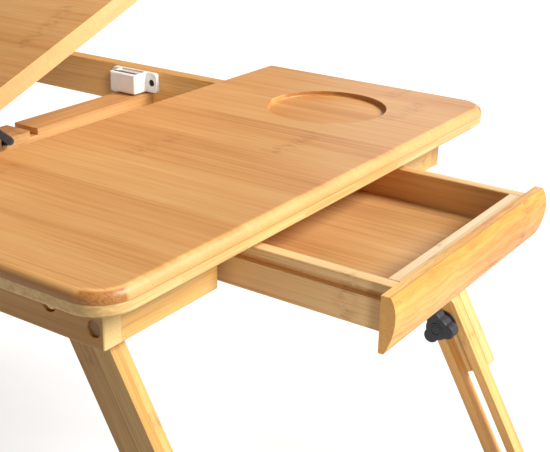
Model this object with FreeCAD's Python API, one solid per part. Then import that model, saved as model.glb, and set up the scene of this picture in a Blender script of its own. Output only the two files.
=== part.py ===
"""Folding bamboo laptop desk with a tilting top, a side drawer and telescoping legs.

Frame: X to the right, Y to the back, Z up, millimetres.  The origin lies on the
floor under the middle of the desk.  The desk stands open: the top is propped up in
the second notch, the drawer is pulled out to the right and the legs are spread.
"""
import math
import os

import FreeCAD
import Part

V = FreeCAD.Vector

# ---------------------------------------------------------------- overall frame
FRAME_LENGTH = 475.0        # outside, left to right
FRAME_DEPTH = 305.0         # outside, front to back
RAIL_HEIGHT = 28.0
RAIL_THICKNESS = 10.5
EDGE_EASE = 0.8             # small rounding on sawn bamboo arrises
RAIL_END_EASE = 1.2         # rounding on the upright front arrises of the long rails
BLOCK_END_EASE = 2.0        # rounding where the side rail ends at the drawer

# ---------------------------------------------------------------- table top
TOP_OVERHANG = 22.5
TOP_THICKNESS = 11.0
FIXED_TOP_WIDTH = 164.5
TOP_SPLIT_GAP = 2.5         # open joint between fixed and tilting top
TOP_CORNER_RADIUS = 18.0
TOP_UPPER_ROUND = 4.5
TOP_LOWER_ROUND = 1.2
TOP_SEAT_GAP = 0.3          # tilting top stays this far off the rails
CUP_RADIUS = 36.5
CUP_DEPTH = 3.0
CUP_FROM_RIGHT = 76.9       # cup centre to the right edge of the top
CUP_FROM_BACK = 70.9        # cup centre to the back edge of the top
CUP_FLOOR_ROUND = 1.5

# ---------------------------------------------------------------- tilt hinge
TILT_ANGLE = 21.0           # rest tilt of the top, degrees
HINGE_RADIUS = 1.9          # knuckle radius
HINGE_PIN_RADIUS = 0.9
HINGE_RUNNING = 0.05        # radial clearance of the pin in the moving knuckle
HINGE_AXIS_OUT = 2.2        # axis in front of the front rail
HINGE_AXIS_DROP = 2.2       # axis below the underside of the tilting top
HINGE_LENGTH = 30.0
HINGE_SPREAD = 95.0         # hinge centre to the middle of the tilting top
HINGE_KNUCKLE_GAP = 0.3
LEAF_THICKNESS = 1.0
LEAF_DROP = 14.0            # height of the leaf on the rail
LEAF_REACH = 14.0           # depth of the leaf under the top
LEDGE_LENGTH = 210.0
LEDGE_WIDTH = 9.0
LEDGE_HEIGHT = 7.0
LEDGE_FROM_FRONT = 8.0
LEDGE_ROUND = 2.0

# ---------------------------------------------------------------- notched rack
RACK_WIDTH = 21.8
RACK_HEIGHT = 11.5
RACK_FROM_RIGHT = 226.7     # right face of the rack to the right end of the frame
NOTCH_WIDTH = 6.5
NOTCH_DEPTH = 4.5
NOTCH_PITCH = 24.0
NOTCH_COUNT = 5
NOTCH_FIRST_FROM_FRONT = 177.0   # rearmost notch
REST_NOTCH = 1              # 0 is the rearmost notch

# ---------------------------------------------------------------- wire prop
PROP_RADIUS = 2.5
PROP_BEND = 4.0             # centre-line radius of the bends
PROP_LENGTH = 78.6          # foot bar to top pins
PROP_SIDE_GAP = 3.7         # arm to the side of the rack
PROP_PIN_LENGTH = 12.0
PROP_PIN_DEPTH = 4.5        # pin axis below the underside of the tilting top
PROP_SEAT_GAP = 0.3
HOOK_SIDE_GAP = 3.6         # arm centre line to the hook
HOOK_WIDTH = 10.0
HOOK_WALL = 2.5
HOOK_BACK = 10.0
HOOK_LIP = 2.5

# ---------------------------------------------------------------- magnetic catch
CATCH_FROM_RIGHT = 241.8    # catch centre to the right end of the frame
CATCH_BODY_WIDTH = 24.0
CATCH_BODY_DEPTH = 16.3
CATCH_HEIGHT = 14.6
CATCH_TOTAL = 43.0
CATCH_EAR_THICKNESS = 3.4
CATCH_TOP_DROP = 1.2        # top of the catch below the top of the rail
CATCH_ROUND = 1.6
CATCH_PLATE_THICKNESS = 1.2
CATCH_PLATE_PROUD = 0.5
CATCH_SCREW_RADIUS = 2.6
STRIKE_THICKNESS = 0.8
STRIKE_LENGTH = 22.0
STRIKE_WIDTH = 9.0

# ---------------------------------------------------------------- drawer
OPENING_FROM_FRONT = 77.7   # end of the near block
OPENING_WIDTH = 154.4
DRAWER_SIDE_GAP = 4.8       # block end to drawer side
DRAWER_LENGTH = 132.0
DRAWER_WALL = 7.0
DRAWER_BOTTOM_GAP = 0.9     # drawer bottom above the rail bottom
DRAWER_HEIGHT = 22.4
DRAWER_OUT = 88.5           # how far the drawer is pulled out
DRAWER_FLOOR_RISE = 2.0
DRAWER_FLOOR_THICKNESS = 3.0
DRAWER_FLOOR_GROOVE = 3.0
GROOVE_RISE = 14.6          # groove bottom above the drawer's lower edge
GROOVE_HEIGHT = 3.9
GROOVE_DEPTH = 3.6
RUNNER_CLEAR = 0.4
FRONT_BOARD_THICKNESS = 7.4 # at its thickest
FRONT_BOARD_CREST = 9.0     # thickest place below the top of the front board
FRONT_BOARD_TOP_WIDTH = 4.6
FRONT_BOARD_FOOT_WIDTH = 2.6
FRONT_BOARD_LAP = 6.0       # front board past the opening at each end
FRONT_BOARD_BELOW = 3.0     # front board below the rail bottom
FRONT_BOARD_ABOVE = 0.6     # front board above the drawer walls
GUIDE_THICKNESS = 9.0
GUIDE_GAP = 2.4             # guide face to drawer side
STOP_THICKNESS = 8.0
STOP_RISE = 4.0

# ---------------------------------------------------------------- legs
LEG_WIDTH = 22.0
UPPER_LEG_THICKNESS = 9.6
LOWER_LEG_THICKNESS = 10.0
LEG_SIDE_GAP = 0.3          # between rail, upper leg and lower leg
LEG_SPLAY = 29.5            # degrees from vertical
PIVOT_FROM_END = 31.3       # leg pivot to the end of the frame
PIVOT_RISE = 14.0           # leg pivot above the rail bottom
UPPER_LEG_REACH = 158.0     # pivot to the lower end of the upper leg
UPPER_LEG_END_ROUND = 4.0
LEG_REACH = 250.0           # pivot to the floor, along the leg
CLAMP_REACH = 120.0         # pivot to the clamp bolt
SLOT_WIDTH = 9.8
SLOT_PAST_CLAMP = 8.0       # clamp bolt to the upper end of the slot at rest
SLOT_END_WOOD = 12.0        # wood between the slot and the top of the lower leg
SLOT_TO_BAR = 4.0           # wood between the slot and the foot bar
FOOT_BAR_FROM_FLOOR = 13.0  # middle of the foot bar to the floor, along the leg
FOOT_BAR_WIDTH = 18.0
FOOT_BAR_THICKNESS = 11.0
FOOT_TENON = 5.0
FOOT_TENON_SHOULDER = 2.0

# ---------------------------------------------------------------- hardware
BOLT_RADIUS = 3.0
BOLT_RUNNING = 0.05
PIVOT_HEAD_RADIUS = 4.2
PIVOT_HEAD_THICKNESS = 2.0
PIVOT_RECESS = 3.5
PIVOT_NUT_RADIUS = 5.2
PIVOT_NUT_THICKNESS = 5.0
RECESS_CLEAR = 0.3
CLAMP_HEAD_RADIUS = 6.3
CLAMP_HEAD_THICKNESS = 2.4
WASHER_RADIUS = 8.0
WASHER_THICKNESS = 1.0
PLUG_RADIUS = 3.8
PLUG_CLEAR = 0.2
PLUG_DEPTH = 5.0
PLUG_SUNK = 1.2
PLUG_FROM_END = 5.6         # plug centre to the end of the frame
PLUG_LOW = 9.2              # lower plug above the rail bottom
PLUG_HIGH = 20.2
KNOB_RADIUS = 11.4
KNOB_LOBES = 3
KNOB_LOBE_RADIUS = 4.8
KNOB_CORE_RADIUS = 7.6
KNOB_HEAD = 9.0
KNOB_COLLAR_RADIUS = 6.2
KNOB_COLLAR = 2.2
KNOB_ROUND = 1.4
KNOB_TURN = -3.0            # degrees, first lobe from the horizontal
KNOB_BORE_SPARE = 0.5       # blind bore past the tip of the bolt
DRAWER_SCREW_HEAD = 3.4
DRAWER_SCREW_PROUD = 0.8
DRAWER_SCREW_RADIUS = 1.8

# ---------------------------------------------------------------- derived places
SPLAY = math.radians(LEG_SPLAY)
TILT = math.radians(TILT_ANGLE)
HALF_LENGTH = FRAME_LENGTH / 2
HALF_DEPTH = FRAME_DEPTH / 2
RAIL_Z = LEG_REACH * math.cos(SPLAY) - PIVOT_RISE
RAIL_TOP = RAIL_Z + RAIL_HEIGHT
INNER_X = HALF_LENGTH - RAIL_THICKNESS
INNER_Y = HALF_DEPTH - RAIL_THICKNESS
PIVOT_X = HALF_LENGTH - PIVOT_FROM_END
PIVOT_Z = RAIL_Z + PIVOT_RISE
TOP_RIGHT = HALF_LENGTH + TOP_OVERHANG
TOP_FRONT = HALF_DEPTH + TOP_OVERHANG
SPLIT_X = TOP_RIGHT - FIXED_TOP_WIDTH
TILT_RIGHT = SPLIT_X - TOP_SPLIT_GAP
TILT_MIDDLE = (TILT_RIGHT - TOP_RIGHT) / 2
UNDERSIDE = RAIL_TOP + TOP_SEAT_GAP
HINGE_Y = -HALF_DEPTH - HINGE_AXIS_OUT
HINGE_Z = UNDERSIDE - HINGE_AXIS_DROP
UPPER_LEG_Y = INNER_Y - LEG_SIDE_GAP
LOWER_LEG_Y = UPPER_LEG_Y - UPPER_LEG_THICKNESS - LEG_SIDE_GAP
CLAMP_Y = LOWER_LEG_Y - LOWER_LEG_THICKNESS - LEG_SIDE_GAP
KNOB_Y = CLAMP_Y - WASHER_THICKNESS - LEG_SIDE_GAP
OPENING_FRONT = -HALF_DEPTH + OPENING_FROM_FRONT
OPENING_BACK = OPENING_FRONT + OPENING_WIDTH
DRAWER_FRONT_Y = OPENING_FRONT + DRAWER_SIDE_GAP
DRAWER_BACK_Y = OPENING_BACK - DRAWER_SIDE_GAP
DRAWER_RIGHT = HALF_LENGTH + DRAWER_OUT
DRAWER_LEFT = DRAWER_RIGHT - DRAWER_LENGTH
DRAWER_Z = RAIL_Z + DRAWER_BOTTOM_GAP
DRAWER_TOP = DRAWER_Z + DRAWER_HEIGHT
RACK_RIGHT = HALF_LENGTH - RACK_FROM_RIGHT
RACK_LEFT = RACK_RIGHT - RACK_WIDTH
RACK_TOP = RAIL_Z + RACK_HEIGHT
FOOT_Y = -HALF_DEPTH + NOTCH_FIRST_FROM_FRONT - REST_NOTCH * NOTCH_PITCH
FOOT_Z = RACK_TOP - NOTCH_DEPTH + PROP_RADIUS + PROP_SEAT_GAP
CATCH_X = HALF_LENGTH - CATCH_FROM_RIGHT
CATCH_TOP = RAIL_TOP - CATCH_TOP_DROP
FOOT_BAR_REACH = LEG_REACH - FOOT_BAR_FROM_FLOOR
SLOT_START = CLAMP_REACH - SLOT_PAST_CLAMP
SLOT_END = FOOT_BAR_REACH - FOOT_BAR_WIDTH / 2 - SLOT_TO_BAR
LOWER_LEG_START = SLOT_START - SLOT_END_WOOD
SLIDE_END = HALF_LENGTH - RAIL_THICKNESS
GUIDE_LEFT = SPLIT_X


# ---------------------------------------------------------------- small helpers
def box(x0, x1, y0, y1, z0, z1):
    """Box between two corners."""
    return Part.makeBox(x1 - x0, y1 - y0, z1 - z0, V(x0, y0, z0))


def rod_x(radius, x0, x1, y, z):
    """Cylinder along X."""
    return Part.makeCylinder(radius, x1 - x0, V(x0, y, z), V(1, 0, 0))


def rod_y(radius, x, y0, y1, z):
    """Cylinder along Y."""
    return Part.makeCylinder(radius, y1 - y0, V(x, y0, z), V(0, 1, 0))


def rod_z(radius, x, y, z0, z1):
    """Cylinder along Z."""
    return Part.makeCylinder(radius, z1 - z0, V(x, y, z0), V(0, 0, 1))


def prism(points, along):
    """Solid from a closed outline pushed along a vector."""
    wire = Part.makePolygon(points + [points[0]])
    return Part.Face(wire).extrude(along)


def eased(shape, radius, wanted):
    """Round every edge for which wanted(edge) is true."""
    edges = [edge for edge in shape.Edges if wanted(edge)]
    if not edges:
        return shape
    return shape.makeFillet(radius, edges)


def runs_along(edge, axis):
    """True for a straight edge parallel to an axis letter."""
    if not isinstance(edge.Curve, (Part.Line, Part.LineSegment)):
        return False
    start = edge.Vertexes[0].Point
    end = edge.Vertexes[-1].Point
    step = end - start
    size = step.Length
    part = {"x": step.x, "y": step.y, "z": step.z}[axis]
    return size > 0 and abs(abs(part) - size) < 1e-6


def at_height(edge, z):
    """True for an edge that lies wholly in the plane of height z."""
    bounds = edge.BoundBox
    return abs(bounds.ZMin - z) < 1e-6 and abs(bounds.ZMax - z) < 1e-6


def left_right(shape):
    """Mirror image across the middle of the desk, left for right."""
    return shape.mirror(V(0, 0, 0), V(1, 0, 0))


def front_back(shape):
    """Mirror image across the middle of the desk, back for front."""
    return shape.mirror(V(0, 0, 0), V(0, 1, 0))


def group(solids):
    """Several separate solids kept in one node."""
    return Part.makeCompound(solids)


def tilted(shape):
    """Turn a piece of the closed top up to the rest tilt."""
    turned = shape.copy()
    turned.rotate(V(0, HINGE_Y, HINGE_Z), V(1, 0, 0), TILT_ANGLE)
    return turned


def leg_point(reach, side):
    """Point on a right leg: distance down the leg and offset to its outer edge."""
    x = PIVOT_X + reach * math.sin(SPLAY) + side * math.cos(SPLAY)
    z = PIVOT_Z - reach * math.cos(SPLAY) + side * math.sin(SPLAY)
    return x, z


def leg_board(start, end, half_width, y0, y1):
    """Straight board along a right leg between two distances from the pivot."""
    corners = []
    for reach, side in ((start, -1), (start, 1), (end, 1), (end, -1)):
        x, z = leg_point(reach, side * half_width)
        corners.append(V(x, y0, z))
    return prism(corners, V(0, y1 - y0, 0))


def leg_disc(reach, radius, y0, y1):
    """Cylinder across a right leg at a distance from the pivot."""
    x, z = leg_point(reach, 0)
    return rod_y(radius, x, y0, y1, z)


# ---------------------------------------------------------------- table top
def top_board(left, right, underside, thickness, round_right):
    """Top board with rounded outer corners and softened upper and lower edges."""
    board = box(left, right, -TOP_FRONT, TOP_FRONT, underside, underside + thickness)
    outer_x = right if round_right else left
    inner_x = left if round_right else right

    def outer_corner(edge):
        return runs_along(edge, "z") and abs(edge.BoundBox.XMin - outer_x) < 1e-6

    board = eased(board, TOP_CORNER_RADIUS, outer_corner)

    def rim(height):
        def wanted(edge):
            bounds = edge.BoundBox
            on_split = abs(bounds.XMin - inner_x) < 1e-6 and abs(bounds.XMax - inner_x) < 1e-6
            return at_height(edge, height) and not on_split
        return wanted

    board = eased(board, TOP_UPPER_ROUND, rim(underside + thickness))
    return eased(board, TOP_LOWER_ROUND, rim(underside))


def fixed_top():
    """Right part of the table top with the round cup recess."""
    board = top_board(SPLIT_X, TOP_RIGHT, RAIL_TOP, TOP_THICKNESS, True)
    x = TOP_RIGHT - CUP_FROM_RIGHT
    y = TOP_FRONT - CUP_FROM_BACK
    top = RAIL_TOP + TOP_THICKNESS
    recess = rod_z(CUP_RADIUS, x, y, top - CUP_DEPTH, top + CUP_DEPTH)
    recess = eased(recess, CUP_FLOOR_ROUND, lambda edge: at_height(edge, top - CUP_DEPTH))
    return board.cut(recess)


def tilting_top():
    """Left part of the table top, raised on its hinges."""
    thickness = TOP_THICKNESS - TOP_SEAT_GAP
    board = top_board(-TOP_RIGHT, TILT_RIGHT, UNDERSIDE, thickness, False)
    return tilted(board)


def stop_ledge():
    """Low strip near the front edge that keeps a laptop from sliding off."""
    front = -TOP_FRONT + LEDGE_FROM_FRONT
    top = RAIL_TOP + TOP_THICKNESS
    half = LEDGE_LENGTH / 2
    strip = box(TILT_MIDDLE - half, TILT_MIDDLE + half, front, front + LEDGE_WIDTH,
                top, top + LEDGE_HEIGHT)
    strip = eased(strip, LEDGE_ROUND, lambda edge: at_height(edge, top + LEDGE_HEIGHT))
    return tilted(strip)


# ---------------------------------------------------------------- tilt hinges
def hinge_places():
    """Middle of each hinge along X."""
    return (TILT_MIDDLE - HINGE_SPREAD, TILT_MIDDLE + HINGE_SPREAD)


def hinge_frame_leaves():
    """Leaves screwed to the front rail, each with two outer knuckles."""
    leaves = []
    third = HINGE_LENGTH / 3
    for x in hinge_places():
        left = x - HINGE_LENGTH / 2
        right = x + HINGE_LENGTH / 2
        leaf = box(left, right, -HALF_DEPTH - LEAF_THICKNESS, -HALF_DEPTH,
                   HINGE_Z - LEAF_DROP, HINGE_Z)
        middle = box(left + third - HINGE_KNUCKLE_GAP, right - third + HINGE_KNUCKLE_GAP,
                     HINGE_Y, -HALF_DEPTH, HINGE_Z - HINGE_RADIUS - HINGE_KNUCKLE_GAP,
                     HINGE_Z)
        leaf = leaf.cut(middle)
        for start in (left, right - third + HINGE_KNUCKLE_GAP):
            knuckle = rod_x(HINGE_RADIUS, start, start + third - HINGE_KNUCKLE_GAP,
                            HINGE_Y, HINGE_Z)
            leaf = leaf.fuse(knuckle)
        leaf = leaf.cut(rod_x(HINGE_PIN_RADIUS, left, right, HINGE_Y, HINGE_Z))
        leaves.append(leaf.removeSplitter())
    return group(leaves)


def hinge_top_leaves():
    """Leaves screwed under the tilting top, each with the middle knuckle."""
    leaves = []
    third = HINGE_LENGTH / 3
    bore = HINGE_PIN_RADIUS + HINGE_RUNNING
    for x in hinge_places():
        left = x - HINGE_LENGTH / 2
        right = x + HINGE_LENGTH / 2
        inset = HINGE_RADIUS + HINGE_KNUCKLE_GAP
        leaf = box(left, right, HINGE_Y - LEAF_REACH, HINGE_Y - inset,
                   UNDERSIDE - LEAF_THICKNESS, UNDERSIDE)
        tongue = box(left + third, right - third, HINGE_Y - inset, HINGE_Y,
                     UNDERSIDE - LEAF_THICKNESS, UNDERSIDE)
        knuckle = rod_x(HINGE_RADIUS, left + third, right - third, HINGE_Y, HINGE_Z)
        leaf = leaf.fuse(tongue).fuse(knuckle)
        leaf = leaf.cut(rod_x(bore, left, right, HINGE_Y, HINGE_Z))
        leaves.append(leaf.removeSplitter())
    return tilted(group(leaves))


def hinge_pins():
    """Steel pins through the knuckles."""
    half = HINGE_LENGTH / 2
    return group([rod_x(HINGE_PIN_RADIUS, x - half, x + half, HINGE_Y, HINGE_Z)
                  for x in hinge_places()])


# ---------------------------------------------------------------- rails
def long_rail():
    """Front rail with leg pivot bolts, corner screws and their recesses."""
    rail = box(-HALF_LENGTH, HALF_LENGTH, -HALF_DEPTH, -INNER_Y, RAIL_Z, RAIL_TOP)
    rail = eased(rail, RAIL_END_EASE, lambda edge: (
        runs_along(edge, "z") and edge.BoundBox.YMax < -INNER_Y - 1e-6))
    rail = eased(rail, EDGE_EASE, lambda edge: runs_along(edge, "x"))
    for x in (-PIVOT_X, PIVOT_X):
        rail = rail.cut(rod_y(BOLT_RADIUS, x, -HALF_DEPTH, -INNER_Y, PIVOT_Z))
        rail = rail.cut(rod_y(PIVOT_HEAD_RADIUS + RECESS_CLEAR, x, -HALF_DEPTH,
                              -HALF_DEPTH + PIVOT_RECESS, PIVOT_Z))
    for x, z in plug_places():
        rail = rail.cut(rod_y(PLUG_RADIUS + PLUG_CLEAR, x, -HALF_DEPTH,
                              -HALF_DEPTH + PLUG_DEPTH, z))
    return rail


def plug_places():
    """Corner screw positions on the front rail."""
    x = HALF_LENGTH - PLUG_FROM_END
    heights = (RAIL_Z + PLUG_LOW, RAIL_Z + PLUG_HIGH)
    return [(sign * x, z) for sign in (-1, 1) for z in heights]


def rail_plugs():
    """Wooden plugs sunk over the corner screws of both long rails."""
    front = [rod_y(PLUG_RADIUS, x, -HALF_DEPTH + PLUG_SUNK, -HALF_DEPTH + PLUG_DEPTH, z)
             for x, z in plug_places()]
    return group(front + [front_back(plug) for plug in front])


def left_rail():
    """Full side rail on the left."""
    rail = box(-HALF_LENGTH, -INNER_X, -INNER_Y, INNER_Y, RAIL_Z, RAIL_TOP)
    return eased(rail, EDGE_EASE, lambda edge: runs_along(edge, "y"))


def side_block(y0, y1, open_end):
    """Short piece of the right side rail beside the drawer opening."""
    block = box(INNER_X, HALF_LENGTH, y0, y1, RAIL_Z, RAIL_TOP)

    def end_arris(edge):
        bounds = edge.BoundBox
        at_end = abs(bounds.YMin - open_end) < 1e-6 and abs(bounds.YMax - open_end) < 1e-6
        outside = abs(bounds.XMin - HALF_LENGTH) < 1e-6
        return at_end and outside and runs_along(edge, "z")

    block = eased(block, BLOCK_END_EASE, end_arris)
    return eased(block, EDGE_EASE, lambda edge: runs_along(edge, "y"))


def prop_rack():
    """Notched bar from front rail to back rail that holds the prop."""
    rack = box(RACK_LEFT, RACK_RIGHT, -INNER_Y, INNER_Y, RAIL_Z, RACK_TOP)
    for index in range(NOTCH_COUNT):
        y = -HALF_DEPTH + NOTCH_FIRST_FROM_FRONT - index * NOTCH_PITCH
        notch = box(RACK_LEFT, RACK_RIGHT, y - NOTCH_WIDTH / 2, y + NOTCH_WIDTH / 2,
                    RACK_TOP - NOTCH_DEPTH, RACK_TOP)
        rack = rack.cut(notch)
    return rack


# ---------------------------------------------------------------- wire prop
def pin_from_hinge():
    """Distance of the prop pins along the tilting top, measured from its hinge axis.

    The pins lie at PROP_PIN_DEPTH under the top and PROP_LENGTH from the foot.
    """
    lift = HINGE_AXIS_DROP - PROP_PIN_DEPTH
    base_y = HINGE_Y - lift * math.sin(TILT)
    base_z = HINGE_Z + lift * math.cos(TILT)
    dy = base_y - FOOT_Y
    dz = base_z - FOOT_Z
    half = dy * math.cos(TILT) + dz * math.sin(TILT)
    rest = dy * dy + dz * dz - PROP_LENGTH * PROP_LENGTH
    return -half - math.sqrt(half * half - rest)


def prop_bail():
    """Bent wire: foot bar in the notch, two arms and two pins turned outwards."""
    lift = HINGE_AXIS_DROP - PROP_PIN_DEPTH
    along = pin_from_hinge()
    top_y = HINGE_Y - lift * math.sin(TILT) + along * math.cos(TILT)
    top_z = HINGE_Z + lift * math.cos(TILT) + along * math.sin(TILT)
    up = V(0, top_y - FOOT_Y, top_z - FOOT_Z)
    up.normalize()
    foot = V(0, FOOT_Y, FOOT_Z)
    right = RACK_RIGHT + PROP_SIDE_GAP + PROP_RADIUS
    left = RACK_LEFT - PROP_SIDE_GAP - PROP_RADIUS
    short = PROP_BEND * (1 - math.sqrt(0.5))

    def place(x, height):
        return V(x, 0, 0) + foot + up * height

    def arm(side, out):
        """Edges from the foot bar up one arm to the end of its outward pin."""
        bend = out * PROP_BEND
        nick = out * short
        top = PROP_LENGTH
        low = Part.Arc(place(side - bend, 0), place(side - nick, short),
                       place(side, PROP_BEND))
        high = Part.Arc(place(side, top - PROP_BEND), place(side + nick, top - short),
                        place(side + bend, top))
        return [
            low.toShape(),
            Part.makeLine(place(side, PROP_BEND), place(side, top - PROP_BEND)),
            high.toShape(),
            Part.makeLine(place(side + bend, top), place(side + out * PROP_PIN_LENGTH, top)),
        ]

    bar = Part.makeLine(place(left + PROP_BEND, 0), place(right - PROP_BEND, 0))
    path = Part.Wire(Part.__sortEdges__(arm(left, -1) + [bar] + arm(right, 1)))
    start = place(left - PROP_PIN_LENGTH, PROP_LENGTH)
    ring = Part.Wire(Part.makeCircle(PROP_RADIUS, start, V(1, 0, 0)))
    return path.makePipeShell([ring], True, False)


def hook_places():
    """Left face of each prop hook along X."""
    reach = PROP_SIDE_GAP + PROP_RADIUS + HOOK_SIDE_GAP
    return (RACK_LEFT - reach - HOOK_WIDTH, RACK_RIGHT + reach)


def prop_hooks():
    """Open plastic hooks under the top that the prop pins bear in."""
    along = pin_from_hinge()
    bore = PROP_RADIUS + PROP_SEAT_GAP
    y = HINGE_Y + along
    mouth = y - PROP_RADIUS
    wall = y + bore
    rear = wall + HOOK_BACK
    lip_top = UNDERSIDE - PROP_PIN_DEPTH - bore
    lip_low = lip_top - HOOK_LIP
    pad = UNDERSIDE - PROP_PIN_DEPTH + bore
    hooks = []
    for x0 in hook_places():
        outline = [
            V(x0, y, UNDERSIDE), V(x0, rear, UNDERSIDE), V(x0, rear, lip_low + HOOK_WALL),
            V(x0, rear - HOOK_WALL, lip_low), V(x0, mouth, lip_low), V(x0, mouth, lip_top),
            V(x0, wall, lip_top), V(x0, wall, pad), V(x0, y, pad),
        ]
        hooks.append(prism(outline, V(HOOK_WIDTH, 0, 0)))
    return tilted(group(hooks))


def hook_screws():
    """Pan-head screws that hold the hooks to the top."""
    along = pin_from_hinge()
    y = HINGE_Y + along + PROP_RADIUS + PROP_SEAT_GAP + HOOK_BACK / 2 - HOOK_WALL / 2
    lip_low = UNDERSIDE - PROP_PIN_DEPTH - PROP_RADIUS - PROP_SEAT_GAP - HOOK_LIP
    screws = []
    for x0 in hook_places():
        screws.append(rod_z(CATCH_SCREW_RADIUS, x0 + HOOK_WIDTH / 2, y,
                            lip_low - DRAWER_SCREW_PROUD, lip_low))
    return tilted(group(screws))


# ---------------------------------------------------------------- magnetic catch
def catch_case():
    """Moulded case with a deep middle block and two screwed ears."""
    half = CATCH_BODY_WIDTH / 2
    low = CATCH_TOP - CATCH_HEIGHT
    body = box(CATCH_X - half, CATCH_X + half, INNER_Y - CATCH_BODY_DEPTH, INNER_Y,
               low, CATCH_TOP)
    body = eased(body, CATCH_ROUND, lambda edge: (
        abs(edge.BoundBox.YMax - INNER_Y + CATCH_BODY_DEPTH) < 1e-6
        or (runs_along(edge, "y") and edge.BoundBox.ZMax < low + 1e-6)))
    ears = box(CATCH_X - CATCH_TOTAL / 2, CATCH_X + CATCH_TOTAL / 2,
               INNER_Y - CATCH_EAR_THICKNESS, INNER_Y, low, CATCH_TOP)
    ears = eased(ears, CATCH_ROUND * 2, lambda edge: runs_along(edge, "y"))
    ears = eased(ears, CATCH_ROUND / 2, lambda edge: (
        abs(edge.BoundBox.YMax - INNER_Y + CATCH_EAR_THICKNESS) < 1e-6))
    case = body.fuse(ears)
    slot_half = half - CATCH_ROUND
    mid_y = INNER_Y - CATCH_BODY_DEPTH / 2
    slot = box(CATCH_X - slot_half, CATCH_X + slot_half, mid_y - catch_stack() / 2,
               mid_y + catch_stack() / 2, low + CATCH_HEIGHT / 2, CATCH_TOP)
    case = case.cut(slot)
    for x in catch_screw_places():
        case = case.cut(rod_y(CATCH_SCREW_RADIUS, x, INNER_Y - CATCH_EAR_THICKNESS,
                              INNER_Y - CATCH_EAR_THICKNESS / 2, catch_screw_z()))
    return case.removeSplitter()


def catch_stack():
    """Thickness of the two plates with the magnet between them."""
    return CATCH_BODY_DEPTH - 2 * CATCH_ROUND - 2 * CATCH_PLATE_THICKNESS


def catch_screw_places():
    """Screw positions in the ears."""
    reach = (CATCH_TOTAL + CATCH_BODY_WIDTH) / 4
    return (CATCH_X - reach, CATCH_X + reach)


def catch_screw_z():
    """Height of the ear screws."""
    return CATCH_TOP - CATCH_HEIGHT / 2


def catch_plates():
    """Two steel pole plates with the magnet block between them."""
    slot_half = CATCH_BODY_WIDTH / 2 - CATCH_ROUND
    low = CATCH_TOP - CATCH_HEIGHT / 2
    mid_y = INNER_Y - CATCH_BODY_DEPTH / 2
    front = mid_y - catch_stack() / 2
    back = mid_y + catch_stack() / 2
    left = CATCH_X - slot_half
    right = CATCH_X + slot_half
    plates = [
        box(left, right, front, front + CATCH_PLATE_THICKNESS, low,
            CATCH_TOP + CATCH_PLATE_PROUD),
        box(left, right, back - CATCH_PLATE_THICKNESS, back, low,
            CATCH_TOP + CATCH_PLATE_PROUD),
        box(left, right, front + CATCH_PLATE_THICKNESS, back - CATCH_PLATE_THICKNESS, low,
            CATCH_TOP - CATCH_PLATE_PROUD),
    ]
    return group(plates)


def catch_screws():
    """Screw heads in the ears of the catch."""
    screws = []
    for x in catch_screw_places():
        screws.append(rod_y(CATCH_SCREW_RADIUS - PLUG_CLEAR, x,
                            INNER_Y - CATCH_EAR_THICKNESS - PLUG_CLEAR,
                            INNER_Y - CATCH_EAR_THICKNESS / 2, catch_screw_z()))
    return group(screws)


def strike_plate():
    """Steel plate under the tilting top that the catch holds."""
    mid_y = INNER_Y - CATCH_BODY_DEPTH / 2
    plate = box(CATCH_X - STRIKE_LENGTH / 2, CATCH_X + STRIKE_LENGTH / 2,
                mid_y - STRIKE_WIDTH / 2, mid_y + STRIKE_WIDTH / 2,
                UNDERSIDE - STRIKE_THICKNESS, UNDERSIDE)
    return tilted(plate)


# ---------------------------------------------------------------- drawer
def drawer_side():
    """Near side of the drawer with its runner groove and floor groove."""
    y0 = DRAWER_FRONT_Y
    side = box(DRAWER_LEFT, DRAWER_RIGHT, y0, y0 + DRAWER_WALL, DRAWER_Z, DRAWER_TOP)
    side = eased(side, EDGE_EASE, lambda edge: (
        runs_along(edge, "x") and edge.BoundBox.ZMin > DRAWER_TOP - 1e-6))
    groove_z = DRAWER_Z + GROOVE_RISE
    side = side.cut(box(DRAWER_LEFT, DRAWER_RIGHT, y0, y0 + GROOVE_DEPTH,
                        groove_z, groove_z + GROOVE_HEIGHT))
    return side.cut(floor_panel())


def floor_panel():
    """Drawer bottom held in grooves of the four walls."""
    inset = DRAWER_WALL - DRAWER_FLOOR_GROOVE
    low = DRAWER_Z + DRAWER_FLOOR_RISE
    return box(DRAWER_LEFT + inset, DRAWER_RIGHT - inset, DRAWER_FRONT_Y + inset,
               DRAWER_BACK_Y - inset, low, low + DRAWER_FLOOR_THICKNESS)


def drawer_end(x0):
    """Short wall of the drawer between its two sides."""
    wall = box(x0, x0 + DRAWER_WALL, DRAWER_FRONT_Y + DRAWER_WALL,
               DRAWER_BACK_Y - DRAWER_WALL, DRAWER_Z, DRAWER_TOP)
    wall = eased(wall, EDGE_EASE, lambda edge: (
        runs_along(edge, "y") and edge.BoundBox.ZMin > DRAWER_TOP - 1e-6))
    return wall.cut(floor_panel())


def drawer_far_side():
    """Far side of the drawer, a mirror image of the near one."""
    middle = (DRAWER_FRONT_Y + DRAWER_BACK_Y) / 2
    return drawer_side().mirror(V(0, middle, 0), V(0, 1, 0))


def crest_arc(crest, end):
    """Arc in XZ that stands upright at the crest and runs to the end point."""
    depth = crest.x - end.x
    height = end.z - crest.z
    radius = (depth * depth + height * height) / (2 * depth)
    half = math.asin(height / radius) / 2
    middle = V(crest.x - radius + radius * math.cos(half), crest.y,
               crest.z + radius * math.sin(half))
    return Part.Arc(crest, middle, end).toShape()


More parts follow.
